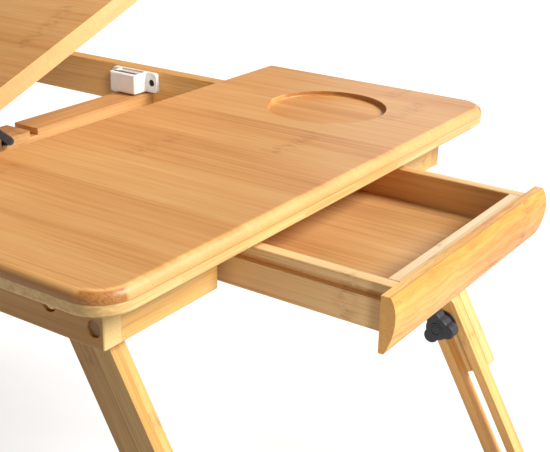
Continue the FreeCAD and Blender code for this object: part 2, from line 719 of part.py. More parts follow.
def drawer_front():
    """Front board, wider and deeper than the box, planed to a full curved face."""
    x0 = DRAWER_RIGHT
    y0 = OPENING_FRONT - FRONT_BOARD_LAP
    y1 = OPENING_BACK + FRONT_BOARD_LAP
    high = DRAWER_TOP + FRONT_BOARD_ABOVE
    low = RAIL_Z - FRONT_BOARD_BELOW
    top = V(x0 + FRONT_BOARD_TOP_WIDTH, y0, high)
    crest = V(x0 + FRONT_BOARD_THICKNESS, y0, high - FRONT_BOARD_CREST)
    foot = V(x0 + FRONT_BOARD_FOOT_WIDTH, y0, low)
    outline = Part.Wire([
        Part.makeLine(V(x0, y0, high), top),
        crest_arc(crest, top),
        crest_arc(crest, foot),
        Part.makeLine(foot, V(x0, y0, low)),
        Part.makeLine(V(x0, y0, low), V(x0, y0, high)),
    ])
    return Part.Face(outline).extrude(V(0, y1 - y0, 0))


def drawer_screws():
    """Screw heads inside the box that hold the front board."""
    z = (DRAWER_Z + DRAWER_TOP) / 2
    inside = DRAWER_RIGHT - DRAWER_WALL
    width = DRAWER_BACK_Y - DRAWER_FRONT_Y
    middle = (DRAWER_FRONT_Y + DRAWER_BACK_Y) / 2
    screws = []
    for y in (middle - width / 4, middle + width / 4):
        screws.append(rod_x(DRAWER_SCREW_HEAD, inside - DRAWER_SCREW_PROUD, inside, y, z))
    return group(screws)


def drawer_guide():
    """Near guide board with the runner that fills the drawer's groove."""
    face = DRAWER_FRONT_Y - GUIDE_GAP
    board = box(GUIDE_LEFT, SLIDE_END, face - GUIDE_THICKNESS, face, RAIL_Z, RAIL_TOP)
    low = DRAWER_Z + GROOVE_RISE + RUNNER_CLEAR
    high = DRAWER_Z + GROOVE_RISE + GROOVE_HEIGHT - RUNNER_CLEAR
    runner = box(GUIDE_LEFT + STOP_THICKNESS, SLIDE_END, face,
                 DRAWER_FRONT_Y + GROOVE_DEPTH - RUNNER_CLEAR, low, high)
    return board.fuse(runner).removeSplitter()


def drawer_far_guide():
    """Far guide board, a mirror image of the near one."""
    middle = (DRAWER_FRONT_Y + DRAWER_BACK_Y) / 2
    return drawer_guide().mirror(V(0, middle, 0), V(0, 1, 0))


def drawer_stop():
    """Strip between the guides behind the closed drawer."""
    return box(GUIDE_LEFT, GUIDE_LEFT + STOP_THICKNESS, DRAWER_FRONT_Y - GUIDE_GAP,
               DRAWER_BACK_Y + GUIDE_GAP, RAIL_Z + STOP_RISE, RAIL_TOP)


# ---------------------------------------------------------------- legs
def upper_leg():
    """Right front upper leg: pivots on the rail and carries the clamp bolt."""
    half = LEG_WIDTH / 2
    y0 = -UPPER_LEG_Y
    y1 = y0 + UPPER_LEG_THICKNESS
    leg = leg_board(0, UPPER_LEG_REACH, half, y0, y1)
    foot_x, foot_z = leg_point(UPPER_LEG_REACH, 0)

    def lower_corner(edge):
        middle = edge.BoundBox.Center
        away = math.hypot(middle.x - foot_x, middle.z - foot_z)
        return runs_along(edge, "y") and abs(away - half) < 1e-6

    leg = eased(leg, UPPER_LEG_END_ROUND, lower_corner)
    leg = leg.fuse(leg_disc(0, half, y0, y1)).removeSplitter()
    bore = BOLT_RADIUS + BOLT_RUNNING
    leg = leg.cut(leg_disc(0, bore, y0, y1))
    leg = leg.cut(leg_disc(CLAMP_REACH, BOLT_RADIUS, y0, y1))
    return leg.cut(leg_disc(CLAMP_REACH, CLAMP_HEAD_RADIUS, y0, y0 + CLAMP_HEAD_THICKNESS))


def lower_leg():
    """Right front lower leg: slotted board cut level at the floor."""
    half = LEG_WIDTH / 2
    y0 = -LOWER_LEG_Y
    y1 = y0 + LOWER_LEG_THICKNESS
    leg = leg_board(LOWER_LEG_START + half, LEG_REACH + half, half, y0, y1)
    leg = leg.fuse(leg_disc(LOWER_LEG_START + half, half, y0, y1)).removeSplitter()
    leg = leg.cut(slot_space(y0, y1))
    leg = leg.cut(foot_tenon())
    x, z = leg_point(LEG_REACH, 0)
    below = box(x - LEG_REACH, x + LEG_REACH, y0, y1, z - LEG_REACH, z)
    return leg.cut(below)


def slot_space(y0, y1):
    """Space of the long slot in a lower leg."""
    radius = SLOT_WIDTH / 2
    slot = leg_board(SLOT_START + radius, SLOT_END - radius, radius, y0, y1)
    slot = slot.fuse(leg_disc(SLOT_START + radius, radius, y0, y1))
    return slot.fuse(leg_disc(SLOT_END - radius, radius, y0, y1))


def foot_tenon():
    """Tenon of the foot bar where it enters the front lower leg."""
    start = FOOT_BAR_REACH - FOOT_BAR_WIDTH / 2 + FOOT_TENON_SHOULDER
    end = FOOT_BAR_REACH + FOOT_BAR_WIDTH / 2 - FOOT_TENON_SHOULDER
    half = FOOT_BAR_THICKNESS / 2 - FOOT_TENON_SHOULDER
    inner = -LOWER_LEG_Y + LOWER_LEG_THICKNESS
    return leg_board(start, end, half, inner - FOOT_TENON, inner)


def foot_bar():
    """Bar that ties the two lower legs of one side together."""
    start = FOOT_BAR_REACH - FOOT_BAR_WIDTH / 2
    end = FOOT_BAR_REACH + FOOT_BAR_WIDTH / 2
    inner = LOWER_LEG_Y - LOWER_LEG_THICKNESS
    bar = leg_board(start, end, FOOT_BAR_THICKNESS / 2, -inner, inner)
    bar = eased(bar, EDGE_EASE, lambda edge: runs_along(edge, "y"))
    return bar.fuse(foot_tenon()).fuse(front_back(foot_tenon())).removeSplitter()


def pivot_bolt():
    """Right front leg pivot bolt with its head sunk in the rail."""
    seat = -HALF_DEPTH + PIVOT_RECESS
    tip = -LOWER_LEG_Y + PIVOT_NUT_THICKNESS
    shank = rod_y(BOLT_RADIUS, PIVOT_X, seat, tip, PIVOT_Z)
    head = rod_y(PIVOT_HEAD_RADIUS, PIVOT_X, seat - PIVOT_HEAD_THICKNESS, seat, PIVOT_Z)
    return shank.fuse(head).removeSplitter()


def pivot_nut():
    """Right front pivot nut on the inner side of the upper leg."""
    start = -LOWER_LEG_Y
    corners = []
    for step in range(6):
        turn = math.radians(60 * step)
        corners.append(V(PIVOT_X + PIVOT_NUT_RADIUS * math.cos(turn), start,
                         PIVOT_Z + PIVOT_NUT_RADIUS * math.sin(turn)))
    nut = prism(corners, V(0, PIVOT_NUT_THICKNESS, 0))
    return nut.cut(rod_y(BOLT_RADIUS, PIVOT_X, start, start + PIVOT_NUT_THICKNESS, PIVOT_Z))


def clamp_bolt():
    """Right front clamp bolt through the upper leg, the slot and the knob."""
    y0 = -UPPER_LEG_Y
    head = leg_disc(CLAMP_REACH, CLAMP_HEAD_RADIUS, y0, y0 + CLAMP_HEAD_THICKNESS)
    tip = -KNOB_Y + KNOB_COLLAR + KNOB_HEAD / 2
    shank = leg_disc(CLAMP_REACH, BOLT_RADIUS, y0 + CLAMP_HEAD_THICKNESS, tip)
    return head.fuse(shank).removeSplitter()


def clamp_washer():
    """Right front washer between the lower leg and the knob."""
    y0 = -CLAMP_Y
    washer = leg_disc(CLAMP_REACH, WASHER_RADIUS, y0, y0 + WASHER_THICKNESS)
    return washer.cut(leg_disc(CLAMP_REACH, BOLT_RADIUS, y0, y0 + WASHER_THICKNESS))


def clamp_knob():
    """Right front lobed clamping knob."""
    y0 = -KNOB_Y
    y1 = y0 + KNOB_COLLAR
    y2 = y1 + KNOB_HEAD
    x, z = leg_point(CLAMP_REACH, 0)
    head = rod_y(KNOB_CORE_RADIUS, x, y1, y2, z)
    reach = KNOB_RADIUS - KNOB_LOBE_RADIUS
    for index in range(KNOB_LOBES):
        turn = math.radians(KNOB_TURN + index * 360.0 / KNOB_LOBES)
        lobe = rod_y(KNOB_LOBE_RADIUS, x + reach * math.cos(turn), y1, y2,
                     z + reach * math.sin(turn))
        head = head.fuse(lobe)
    head = head.removeSplitter()

    def face_edge(edge):
        bounds = edge.BoundBox
        return any(abs(bounds.YMin - y) < 1e-6 and abs(bounds.YMax - y) < 1e-6
                   for y in (y1, y2))

    head = eased(head, KNOB_ROUND, face_edge)
    knob = head.fuse(rod_y(KNOB_COLLAR_RADIUS, x, y0, y1 + KNOB_ROUND, z))
    bore = leg_disc(CLAMP_REACH, BOLT_RADIUS + BOLT_RUNNING, y0,
                    y1 + KNOB_HEAD / 2 + KNOB_BORE_SPARE)
    return knob.cut(bore).removeSplitter()


def side_nodes(prefix, image):
    """Leg nodes of one side; image puts a right-hand piece on that side."""
    def pair(piece):
        return group([image(piece), image(front_back(piece))])

    return {
        prefix + "_upper_leg_front": image(upper_leg()),
        prefix + "_upper_leg_back": image(front_back(upper_leg())),
        prefix + "_clamp_bolts": pair(clamp_bolt()),
        prefix + "_clamp_washers": pair(clamp_washer()),
        prefix + "_lower_leg_front": image(lower_leg()),
        prefix + "_lower_leg_back": image(front_back(lower_leg())),
        prefix + "_foot_bar": image(foot_bar()),
        prefix + "_knob_front": image(clamp_knob()),
        prefix + "_knob_back": image(front_back(clamp_knob())),
    }


def all_four(piece):
    """A right front piece and its three mirror images."""
    front = [piece, left_right(piece)]
    return group(front + [front_back(item) for item in front])


def nodes():
    """Every piece of the desk by node name."""
    pieces = {
        "fixed_top": fixed_top(),
        "front_rail": long_rail(),
        "back_rail": front_back(long_rail()),
        "left_rail": left_rail(),
        "right_block_front": side_block(-INNER_Y, OPENING_FRONT, OPENING_FRONT),
        "right_block_back": side_block(OPENING_BACK, INNER_Y, OPENING_BACK),
        "prop_rack": prop_rack(),
        "drawer_guide_front": drawer_guide(),
        "drawer_guide_back": drawer_far_guide(),
        "drawer_stop": drawer_stop(),
        "rail_plugs": rail_plugs(),
        "pivot_bolts": all_four(pivot_bolt()),
        "pivot_nuts": all_four(pivot_nut()),
        "catch_case": catch_case(),
        "catch_plates": catch_plates(),
        "catch_screws": catch_screws(),
        "hinge_frame_leaves": hinge_frame_leaves(),
        "hinge_pins": hinge_pins(),
        "tilting_top": tilting_top(),
        "stop_ledge": stop_ledge(),
        "hinge_top_leaves": hinge_top_leaves(),
        "strike_plate": strike_plate(),
        "prop_hooks": prop_hooks(),
        "hook_screws": hook_screws(),
        "prop_bail": prop_bail(),
        "drawer_front": drawer_front(),
        "drawer_side_front": drawer_side(),
        "drawer_side_back": drawer_far_side(),
        "drawer_inner_front": drawer_end(DRAWER_RIGHT - DRAWER_WALL),
        "drawer_inner_back": drawer_end(DRAWER_LEFT),
        "drawer_floor": floor_panel(),
        "drawer_screws": drawer_screws(),
    }
    pieces.update(side_nodes("right", lambda shape: shape))
    pieces.update(side_nodes("left", left_right))
    return pieces


def main():
    """Write one STEP file per node."""
    os.makedirs("parts", exist_ok=True)
    for name, shape in nodes().items():
        shape.exportStep(os.path.join("parts", name + ".step"))
        bounds = shape.BoundBox
        print(name, len(shape.Solids), shape.isValid(), round(shape.Volume, 1),
              [round(value, 2) for value in (bounds.XMin, bounds.XMax, bounds.YMin,
                                             bounds.YMax, bounds.ZMin, bounds.ZMax)])


main()
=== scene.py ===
"""Dresses a folding bamboo laptop desk with a tilting top, drawer and splayed legs."""
import logging
import math
from abc import ABC, abstractmethod
from collections.abc import Iterable
from dataclasses import dataclass
from enum import Enum
from functools import partial

import bmesh
import bpy
from bmesh.types import BMesh, BMVert
from bpy.types import ID, Material, Mesh, Node, NodeSocket, Object, World
from mathutils import Matrix, Vector


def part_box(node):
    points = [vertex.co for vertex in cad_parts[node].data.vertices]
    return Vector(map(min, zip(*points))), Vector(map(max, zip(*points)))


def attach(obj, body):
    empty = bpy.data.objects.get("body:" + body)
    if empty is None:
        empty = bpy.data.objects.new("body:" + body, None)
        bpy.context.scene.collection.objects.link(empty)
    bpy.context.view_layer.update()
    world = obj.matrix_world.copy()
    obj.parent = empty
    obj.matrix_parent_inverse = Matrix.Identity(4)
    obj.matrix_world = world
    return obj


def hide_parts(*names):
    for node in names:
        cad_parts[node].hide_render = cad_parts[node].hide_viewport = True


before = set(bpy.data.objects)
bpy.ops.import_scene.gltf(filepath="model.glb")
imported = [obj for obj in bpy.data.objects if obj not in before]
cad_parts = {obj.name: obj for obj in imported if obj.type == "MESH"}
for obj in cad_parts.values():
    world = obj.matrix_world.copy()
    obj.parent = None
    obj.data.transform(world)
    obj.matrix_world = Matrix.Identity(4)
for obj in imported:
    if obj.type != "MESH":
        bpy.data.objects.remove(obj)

LOG = logging.getLogger("laptop_desk")
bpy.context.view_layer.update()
MM = 0.001
SMOOTH_BELOW = 35.0                 # degrees, flatter edges of a piece are shaded smooth
EASED_FROM = 40.0                   # degrees, sharper edges of a CAD node are eased
EASED_STEPS = 2                     # steps across an eased edge
WELD_WITHIN = 0.002                 # mm, corners of a CAD node this close are one
STRIP_JUMP = 7.31                   # features between the noises of neighbouring strips

Triple = tuple[float, float, float]
Quad = tuple[float, float, float, float]
Input = Node | NodeSocket | float | tuple[float, ...]
Spot = tuple[Vector, Vector, float]  # a head's seat, way out and chance turn in degrees


def linear(code: str) -> Quad:
    """Turns an sRGB hex colour into linear light.

    Args:
        code: Six hex digits.

    Returns:
        Linear red, green and blue with an alpha of one.
    """
    channels = []
    for byte in bytes.fromhex(code):
        value = byte / 255
        channels.append(value / 12.92 if value <= 0.04045 else ((value + 0.055) / 1.055) ** 2.4)
    return channels[0], channels[1], channels[2], 1.0


class Shader:
    """Node tree of a material or of the sky, which grows node by node."""

    def __init__(self, owner: Material | World) -> None:
        """Starts with an empty tree.

        Args:
            owner: New material, named for the real one and how it was worked, or world.
        """
        owner.use_nodes = True
        self.owner = owner
        self.tree = owner.node_tree
        self.tree.nodes.clear()

    def add(
        self, kind: str, *inputs: Input, named: dict[int | str, Input] | None = None,
        **settings: object,
    ) -> Node:
        """Adds one node with its settings, input values and incoming links.

        The inputs of a MapRange are, in turn, the value, its lowest and highest and what
        each of these two becomes. A Mix has its share on 0 and its colours on 6 and 7.

        Args:
            kind: Blender's name of the node type after its prefix.
            *inputs: Constants to set, or nodes and sockets to link, in socket order.
            named: The same by socket name or number.
            **settings: Properties of the node itself.

        Returns:
            The new node.
        """
        node = self.tree.nodes.new("ShaderNode" + kind)
        for key, value in settings.items():
            setattr(node, key, value)
        for key, value in (dict(enumerate(inputs)) | (named or {})).items():
            if isinstance(value, Node):
                value = next(socket for socket in value.outputs if socket.enabled)
            if isinstance(value, NodeSocket):
                self.tree.links.new(value, node.inputs[key])
            else:
                node.inputs[key].default_value = value
        return node

    def finish(self, surface: Node) -> Material:
        """Joins a surface to the material output and gives the material."""
        self.add("OutputMaterial", named={"Surface": surface})
        return self.owner


class Grain(Enum):
    """Turns that bring a board's fibres onto the first texture axis, in degrees."""

    ALONG_X = (0.0, 0.0, 0.0)
    ALONG_Y = (0.0, 0.0, -90.0)
    TILTED_TOP = (-21.0, 0.0, 0.0)
    RIGHT_LEG = (0.0, -60.5, 0.0)
    LEFT_LEG = (0.0, -119.5, 0.0)

    def radians(self) -> tuple[float, ...]:
        """Gives the turn in radians."""
        return tuple(math.radians(angle) for angle in self.value)


@dataclass(frozen=True)
class Bamboo:
    """Glued bamboo strips, sanded and sealed with clear satin varnish.

    The eye reads straight strips of slightly different tan, long fine streaks along
    them, small reddish smudges where each stalk had a joint, faint glue lines and a
    warmer, finely stippled tone on the sawn ends. Sizes are in millimetres and the
    rates of a pattern are its features per metre along, across and through the board.
    """

    name: str
    light: str
    middle: str
    dark: str
    grain: Grain
    strip_width: float = 22.0       # across the board's face
    strip_depth: float = 5.5        # through the board's thickness
    width_from: float = 0.0         # where a strip starts across the face
    depth_from: float = 0.0         # where a layer starts through the thickness
    seed: float = 0.0
    contrast: float = 0.30          # tone difference from strip to strip
    drift_share: float = 0.70       # tone difference of the slow drift along a strip
    streak_share: float = 0.62      # tone difference of the streaks
    tone_low: float = 0.27          # spread of tones below the middle one
    tone_high: float = 0.29         # spread of tones above it
    warmth: Triple = (1.0, 0.88, 0.72)  # of red, green and blue, as dark bamboo is redder
    drift: Triple = (5.0, 26.0, 26.0)  # every 200 mm along and 38 mm across
    streaks: Triple = (6.0, 330.0, 330.0)  # 3 mm wide
    bundles: Triple = (17.0, 1150.0, 1150.0)  # 0.9 mm, the finest lines that still show
    crumbs: Triple = (150.0, 420.0, 420.0)  # 7 mm long and 2.4 mm wide
    cross_streaks: Triple = (330.0, 7.0, 520.0)  # 3 mm wide, 143 mm long, across the board
    dots: float = 0.8               # bundles are 0.4 across; 0.8 is the finest that shows
    wander: float = 0.5             # sideways drift of the fibres
    bend: float = 34.0              # from one bend of the fibres to the next
    joint_gap: float = 300.0        # between stalk joints
    joint_reach: float = 9.0        # how far a smudge reaches from its joint
    joint_depth: float = 0.55       # strength of the joint smudges
    glue_line: float = 0.22         # half width of a glue line
    open_grain: float = 0.12        # depth of the open grain
    roughness: float = 0.46
    end_shade: str = "D9A05A"
    end_share: float = 0.5          # how far the sawn ends take that shade
    slant_shade: str | None = None  # rounded corners, where fibres are cut at a slant
    backing: tuple[str, str] | None = None  # light and dark of a crosswise lower layer
    hollow: Quad | None = None      # x, y, radius, height of the surface
    hollow_shade: str = "DD9C50"

    def build(self) -> Material:
        """Builds the procedural bamboo."""
        return BambooShader(self).board_finish()


class BambooShader(Shader):
    """Node tree of one bamboo board, from the places of its strips to its gloss."""

    def __init__(self, board: Bamboo) -> None:
        """Works out the strips, where a point lies in them and the tone there.

        Args:
            board: Sizes and colours of the board.
        """
        super().__init__(bpy.data.materials.new(board.name))
        self.board = board
        self.seam = (board.depth_from + board.strip_depth) * MM
        turn = board.grain.radians()
        where = self.add("TexCoord").outputs
        self.where = where["Object"]
        self.local = self.add("Mapping", named={"Vector": self.where, "Rotation": turn})
        facing = self.add("Mapping", named={"Vector": where["Normal"], "Rotation": turn},
                          vector_type="VECTOR")
        self.place = self.add("SeparateXYZ", self.local).outputs
        self.facing = self.add("SeparateXYZ", facing).outputs
        self.across = self.strips(self.place["Y"], board.strip_width, board.width_from)
        self.through = self.strips(self.place["Z"], board.strip_depth, board.depth_from)
        self.strip = self.add("CombineXYZ", self.across[0], self.through[0], board.seed)
        chance = self.add("TexWhiteNoise", self.strip)
        self.chance = self.add("SeparateColor", chance.outputs["Color"]).outputs
        self.fibres = self.wandering()
        self.drift = self.noise(self.fibres, board.drift, 2.0)
        self.streak = self.noise(self.fibres, board.streaks, 4.0)
        self.bundle = self.noise(self.fibres, board.bundles, 2.0)
        self.colour = self.tones()

    def board_finish(self) -> Material:
        """Adds bundles, smudges, glue lines, sawn ends, relief and gloss.

        Returns:
            A procedural bamboo material.
        """
        board = self.board
        bundle = self.add("MapRange", self.bundle, 0.50, 0.74, 0.0, 0.42)
        glue = self.glue_lines()
        self.darken(bundle, 0.66)
        self.darken(self.joints(), 0.50)
        self.darken(glue, 0.60)
        self.sawn_ends()
        if board.slant_shade is not None:
            self.slanted_corners_and_edge_shade()
        if board.backing is not None:
            self.lower_layer()
        if board.hollow is not None:
            self.routed_hollow_with_painted_shade()
        relief = self.add("Math", bundle, glue, operation="ADD")
        bump = self.add("Bump", invert=True, named={
            "Strength": 0.20, "Distance": board.open_grain * MM, "Height": relief})
        gloss = self.add("MapRange", self.streak, 0.3, 0.8, board.roughness - 0.05,
                         board.roughness + 0.10)
        return self.finish(self.add("BsdfPrincipled", named={
            "Base Color": self.colour, "Roughness": gloss, "Normal": bump, "IOR": 1.5,
            "Coat Weight": 0.10, "Coat Roughness": 0.25, "Coat IOR": 1.5}))

    def strips(self, axis: NodeSocket, width: float, start: float) -> tuple[Node, ...]:
        """Cuts one axis into strips.

        Args:
            axis: Coordinate in metres.
            width: Strip width in millimetres.
            start: Millimetres along the axis at which a strip starts.

        Returns:
            Strip number, place inside the strip and distance to the nearer seam.
        """
        scaled = self.add("Math", axis, 1 / (width * MM), -start / width,
                          operation="MULTIPLY_ADD")
        return (self.add("Math", scaled, operation="FLOOR"),
                self.add("Math", scaled, operation="FRACT"),
                self.add("Math", scaled, 0.5, operation="PINGPONG"))

    def wandering(self) -> Node:
        """Lets the fibres drift sideways as they run along the board.

        Returns:
            Node with the drifted place.
        """
        bend = self.add("TexNoise", named={"Vector": self.local, "Detail": 1.0,
                                           "Scale": 1 / (self.board.bend * MM)})
        centred = self.add("VectorMath", bend.outputs["Color"], (0.5, 0.5, 0.5),
                           operation="SUBTRACT")
        reach = 2 * self.board.wander * MM
        shift = self.add("VectorMath", centred, (0.0, reach, reach), operation="MULTIPLY")
        return self.add("VectorMath", self.local, shift, operation="ADD")

    def noise(self, place: Node, rates: Triple, octaves: float) -> Node:
        """Stretched noise that differs from strip to strip.

        Args:
            place: Place along, across and through the board.
            rates: Features per metre in these directions.
            octaves: Steps of finer detail.

        Returns:
            The noise node.
        """
        moved = self.add("VectorMath", place, rates, operation="MULTIPLY")
        jump = self.add("VectorMath", self.strip, named={"Scale": STRIP_JUMP},
                        operation="SCALE")
        spot = self.add("VectorMath", moved, jump, operation="ADD")
        return self.add("TexNoise", named={"Vector": spot, "Scale": 1.0,
                                           "Detail": octaves, "Roughness": 0.6})

    def tones(self) -> Node:
        """Spreads the board's three tones over strips, drift and streaks.

        Returns:
            The colour ramp.
        """
        board = self.board
        tone = self.add("Math", self.chance[0], board.contrast, operation="MULTIPLY")
        for noise, share in ((self.drift, board.drift_share),
                             (self.streak, board.streak_share)):
            tone = self.add("Math", noise, share, tone, operation="MULTIPLY_ADD")
        middle = (board.drift_share + board.streak_share + board.contrast) / 2
        tone = self.add("MapRange", tone, middle - board.tone_low, middle + board.tone_high)
        ramp = self.add("ValToRGB", tone)
        stops = ramp.color_ramp.elements
        stops[0].color = linear(board.light)
        stops[1].color = linear(board.dark)
        stops.new(0.5).color = linear(board.middle)
        return ramp

    def darken(self, amount: Node, depth: float, shade: str | None = None) -> None:
        """Takes the board's colour towards a darker shade.

        Args:
            amount: How far to go, from 0 to 1.
            depth: Brightness of the shade, from 0 to 1.
            shade: Hex colour that depth darkens further, or none for the board's dark one.
        """
        *channels, alpha = linear(shade or self.board.dark)
        target = [value * depth * warm for value, warm in zip(channels, self.board.warmth)]
        self.colour = self.add("Mix", data_type="RGBA",
                               named={0: amount, 6: self.colour, 7: (*target, alpha)})

    def glue_lines(self) -> Node:
        """Draws thin lines between strips and between layers.

        Returns:
            Node with the strength of the lines.
        """
        board = self.board
        seam, layer = (
            self.add("MapRange", edge, 0.0, board.glue_line / width, strength, 0.0)
            for edge, width, strength in ((self.across[2], board.strip_width, 0.30),
                                          (self.through[2], board.strip_depth, 0.42)))
        return self.add("Math", seam, layer, operation="MAXIMUM")

    def joints(self) -> Node:
        """Draws a broken, bowed smudge where the stalk had a joint.

        Returns:
            Node with the strength of the smudge.
        """
        board = self.board
        bow = self.add("Math", self.across[1], 0.5, operation="SUBTRACT")
        bow = self.add("Math", bow, bow, operation="MULTIPLY")
        bow = self.add("Math", bow, 0.04, self.chance[1], operation="MULTIPLY_ADD")
        turn = self.add("Math", self.place["X"], 1 / (board.joint_gap * MM), bow,
                        operation="MULTIPLY_ADD")
        reach = self.add("Math", turn, 0.5, operation="PINGPONG")
        band = self.add("MapRange", reach, 0.0, board.joint_reach / board.joint_gap,
                        board.joint_depth, 0.0, interpolation_type="SMOOTHSTEP")
        crumbs = self.noise(self.fibres, board.crumbs, 3.0)
        broken = self.add("MapRange", crumbs, 0.44, 0.66)
        return self.add("Math", band, broken, operation="MULTIPLY")

    def sawn_ends(self) -> None:
        """Warms and stipples the sawn ends, where the fibre bundles are cut across."""
        board = self.board
        plain = self.colour
        dots = self.add("TexVoronoi", named={"Vector": self.local,
                                             "Scale": 1 / (board.dots * MM)})
        spot = self.add("MapRange", dots.outputs["Distance"], 0.15, 0.45, 0.20, 0.0)
        self.colour = self.add("Mix", data_type="RGBA", named={
            0: board.end_share, 6: plain, 7: linear(board.end_shade)})
        self.darken(spot, 0.5)
        square = self.add("Math", self.facing[0], operation="ABSOLUTE")
        share = self.add("MapRange", square, 0.30, 0.75)
        self.colour = self.add("Mix", data_type="RGBA",
                               named={0: share, 6: plain, 7: self.colour})

    def slanted_corners_and_edge_shade(self) -> None:
        """Darkens rounded corners, which cut the fibres at a slant, and paints shade on the
        long front and back edges.
        """
        level = self.add("CombineXYZ", self.facing[0], self.facing[1])
        level = self.add("VectorMath", level, operation="NORMALIZE")
        level = self.add("SeparateXYZ", level).outputs
        both = self.add("Math", level[0], level[1], operation="MULTIPLY")
        both = self.add("Math", both, operation="ABSOLUTE")
        share = self.add("MapRange", both, 0.16, 0.26)
        upright = self.add("MapRange", self.facing[2], 0.80, 0.92, 1.0, 0.0)
        upper = self.add("MapRange", self.place[2], self.seam - 0.1 * MM,
                         self.seam + 0.1 * MM, 0.22, 1.0)
        patch = self.add("MapRange", self.bundle, 0.36, 0.62, 0.95, 0.60)
        for factor in (upright, upper, patch):
            share = self.add("Math", share, factor, operation="MULTIPLY")
        self.colour = self.add("Mix", data_type="RGBA", named={
            0: share, 6: self.colour, 7: linear(self.board.slant_shade)})
        # Painted shade: the steep long edges that face front or back are darkened for the shade
        # on the front edge.
        straight = self.add("Math", level[1], operation="ABSOLUTE")
        straight = self.add("MapRange", straight, 0.93, 0.985, 0.0, 0.7)
        steep = self.add("MapRange", self.facing[2], 0.35, 0.92, 1.0, 0.0)
        self.darken(self.add("Math", straight, steep, operation="MULTIPLY"), 0.72)

    def lower_layer(self) -> None:
        """Shows the lower layer of a two-layer board, whose fibres run crosswise."""
        board = self.board
        light, dark = (linear(code) for code in board.backing)
        streak = self.noise(self.local, board.cross_streaks, 4.0)
        share = self.add("MapRange", streak, 0.38, 0.64)
        cross = self.add("Mix", named={0: share, 6: light, 7: dark}, data_type="RGBA")
        lower = self.add("MapRange", self.place[2], self.seam - 0.15 * MM,
                         self.seam + 0.05 * MM, 1.0, 0.0)
        self.colour = self.add("Mix", named={0: lower, 6: self.colour, 7: cross},
                               data_type="RGBA")
        away = self.add("Math", self.place[2], self.seam, operation="SUBTRACT")
        away = self.add("Math", away, operation="ABSOLUTE")
        self.darken(self.add("MapRange", away, 0.12 * MM, 0.34 * MM, 0.55, 0.0), 0.55)

    def routed_hollow_with_painted_shade(self) -> None:
        """Darkens the routed floor of a round hollow: partly the tone of the deeper layer it
        lies in, partly painted shade in the hollow.
        """
        x, y, radius, surface = self.board.hollow
        place = self.add("SeparateXYZ", self.where).outputs
        flat = self.add("CombineXYZ", place[0], place[1])
        away = self.add("VectorMath", flat, (x * MM, y * MM, 0.0), operation="DISTANCE")
        share = self.add("MapRange", away, (radius - 0.2) * MM, (radius + 0.2) * MM, 1.0, 0.0)
        sunk = self.add("MapRange", place[2], (surface - 0.9) * MM, (surface - 0.3) * MM,
                        1.0, 0.0)
        cloud = self.add("MapRange", self.drift, 0.38, 0.62, 0.45, 1.0)
        for factor in (sunk, cloud):
            share = self.add("Math", share, factor, operation="MULTIPLY")
        # Partly the deeper layer's tone, partly painted shade on the hollow's floor.
        self.darken(share, 0.78, self.board.hollow_shade)


@dataclass(frozen=True)
class Coat:
    """Even surface with fine relief, slow clouds of a second colour and uneven gloss."""

    name: str
    colour: str
    second: str                     # colour of the clouds
    roughness: float
    metallic: float = 0.0
    ior: float = 1.5
    grit: float = 0.45              # mm between marks of the relief
    stretch: float = 1.0            # frequency of the marks along X against the others
    relief: float = 0.10            # strength of the marks
    depth: float = 0.06             # mm, depth of the marks
    cloud: float = 9.0              # mm between clouds
    octaves: float = 3.0            # of the clouds
    clouded: Triple = (0.45, 0.75, 0.5)  # noise at which clouds start and are full, share
    dulled: Quad = (0.3, 0.7, -0.05, 0.06)  # noise from and to, roughness added there

    def build(self) -> Material:
        """Builds the material.

        Returns:
            A procedural material.
        """
        shader = Shader(bpy.data.materials.new(self.name))
        where = shader.add("TexCoord").outputs["Object"]
        marks = shader.add("VectorMath", where, (self.stretch, 1.0, 1.0),
                           operation="MULTIPLY")
        marks = shader.add("TexNoise", named={"Vector": marks, "Detail": 2.0,
                                              "Scale": 1 / (self.grit * MM)})
        cloud = shader.add("TexNoise", named={"Vector": where, "Detail": self.octaves,
                                              "Scale": 1 / (self.cloud * MM)})
        low, high, share = self.clouded
        share = shader.add("MapRange", cloud, low, high, 0.0, share)
        colour = shader.add("Mix", named={0: share, 6: linear(self.colour),
                                          7: linear(self.second)}, data_type="RGBA")
        low, high, smoother, rougher = self.dulled
        gloss = shader.add("MapRange", cloud, low, high, self.roughness + smoother,
                           self.roughness + rougher)
        bump = shader.add("Bump", named={"Strength": self.relief, "Height": marks,
                                         "Distance": self.depth * MM})
        return shader.finish(shader.add("BsdfPrincipled", named={
            "Base Color": colour, "Roughness": gloss, "Normal": bump, "IOR": self.ior,
            "Metallic": self.metallic}))


@dataclass(frozen=True)
class MouldedPlastic(Coat):
    """Injection-moulded plastic with a spark-eroded mould grain.

    The eye reads an even colour, a broad soft highlight and a very fine pebble.
    """

    ior: float = 1.46


@dataclass(frozen=True)
class PlatedSteel(Coat):
    """Turned or pressed steel with a thin plated or blackened coat.

    The eye reads fine tool marks, slightly cloudy gloss and darker handling marks.
    """

    metallic: float = 1.0
    grit: float = 0.35
    stretch: float = 0.06
    relief: float = 0.12
    depth: float = 0.03
    cloud: float = 5.0
    octaves: float = 4.0
    clouded: Triple = (0.35, 0.7, 1.0)
    dulled: Quad = (0.3, 0.75, -0.08, 0.12)


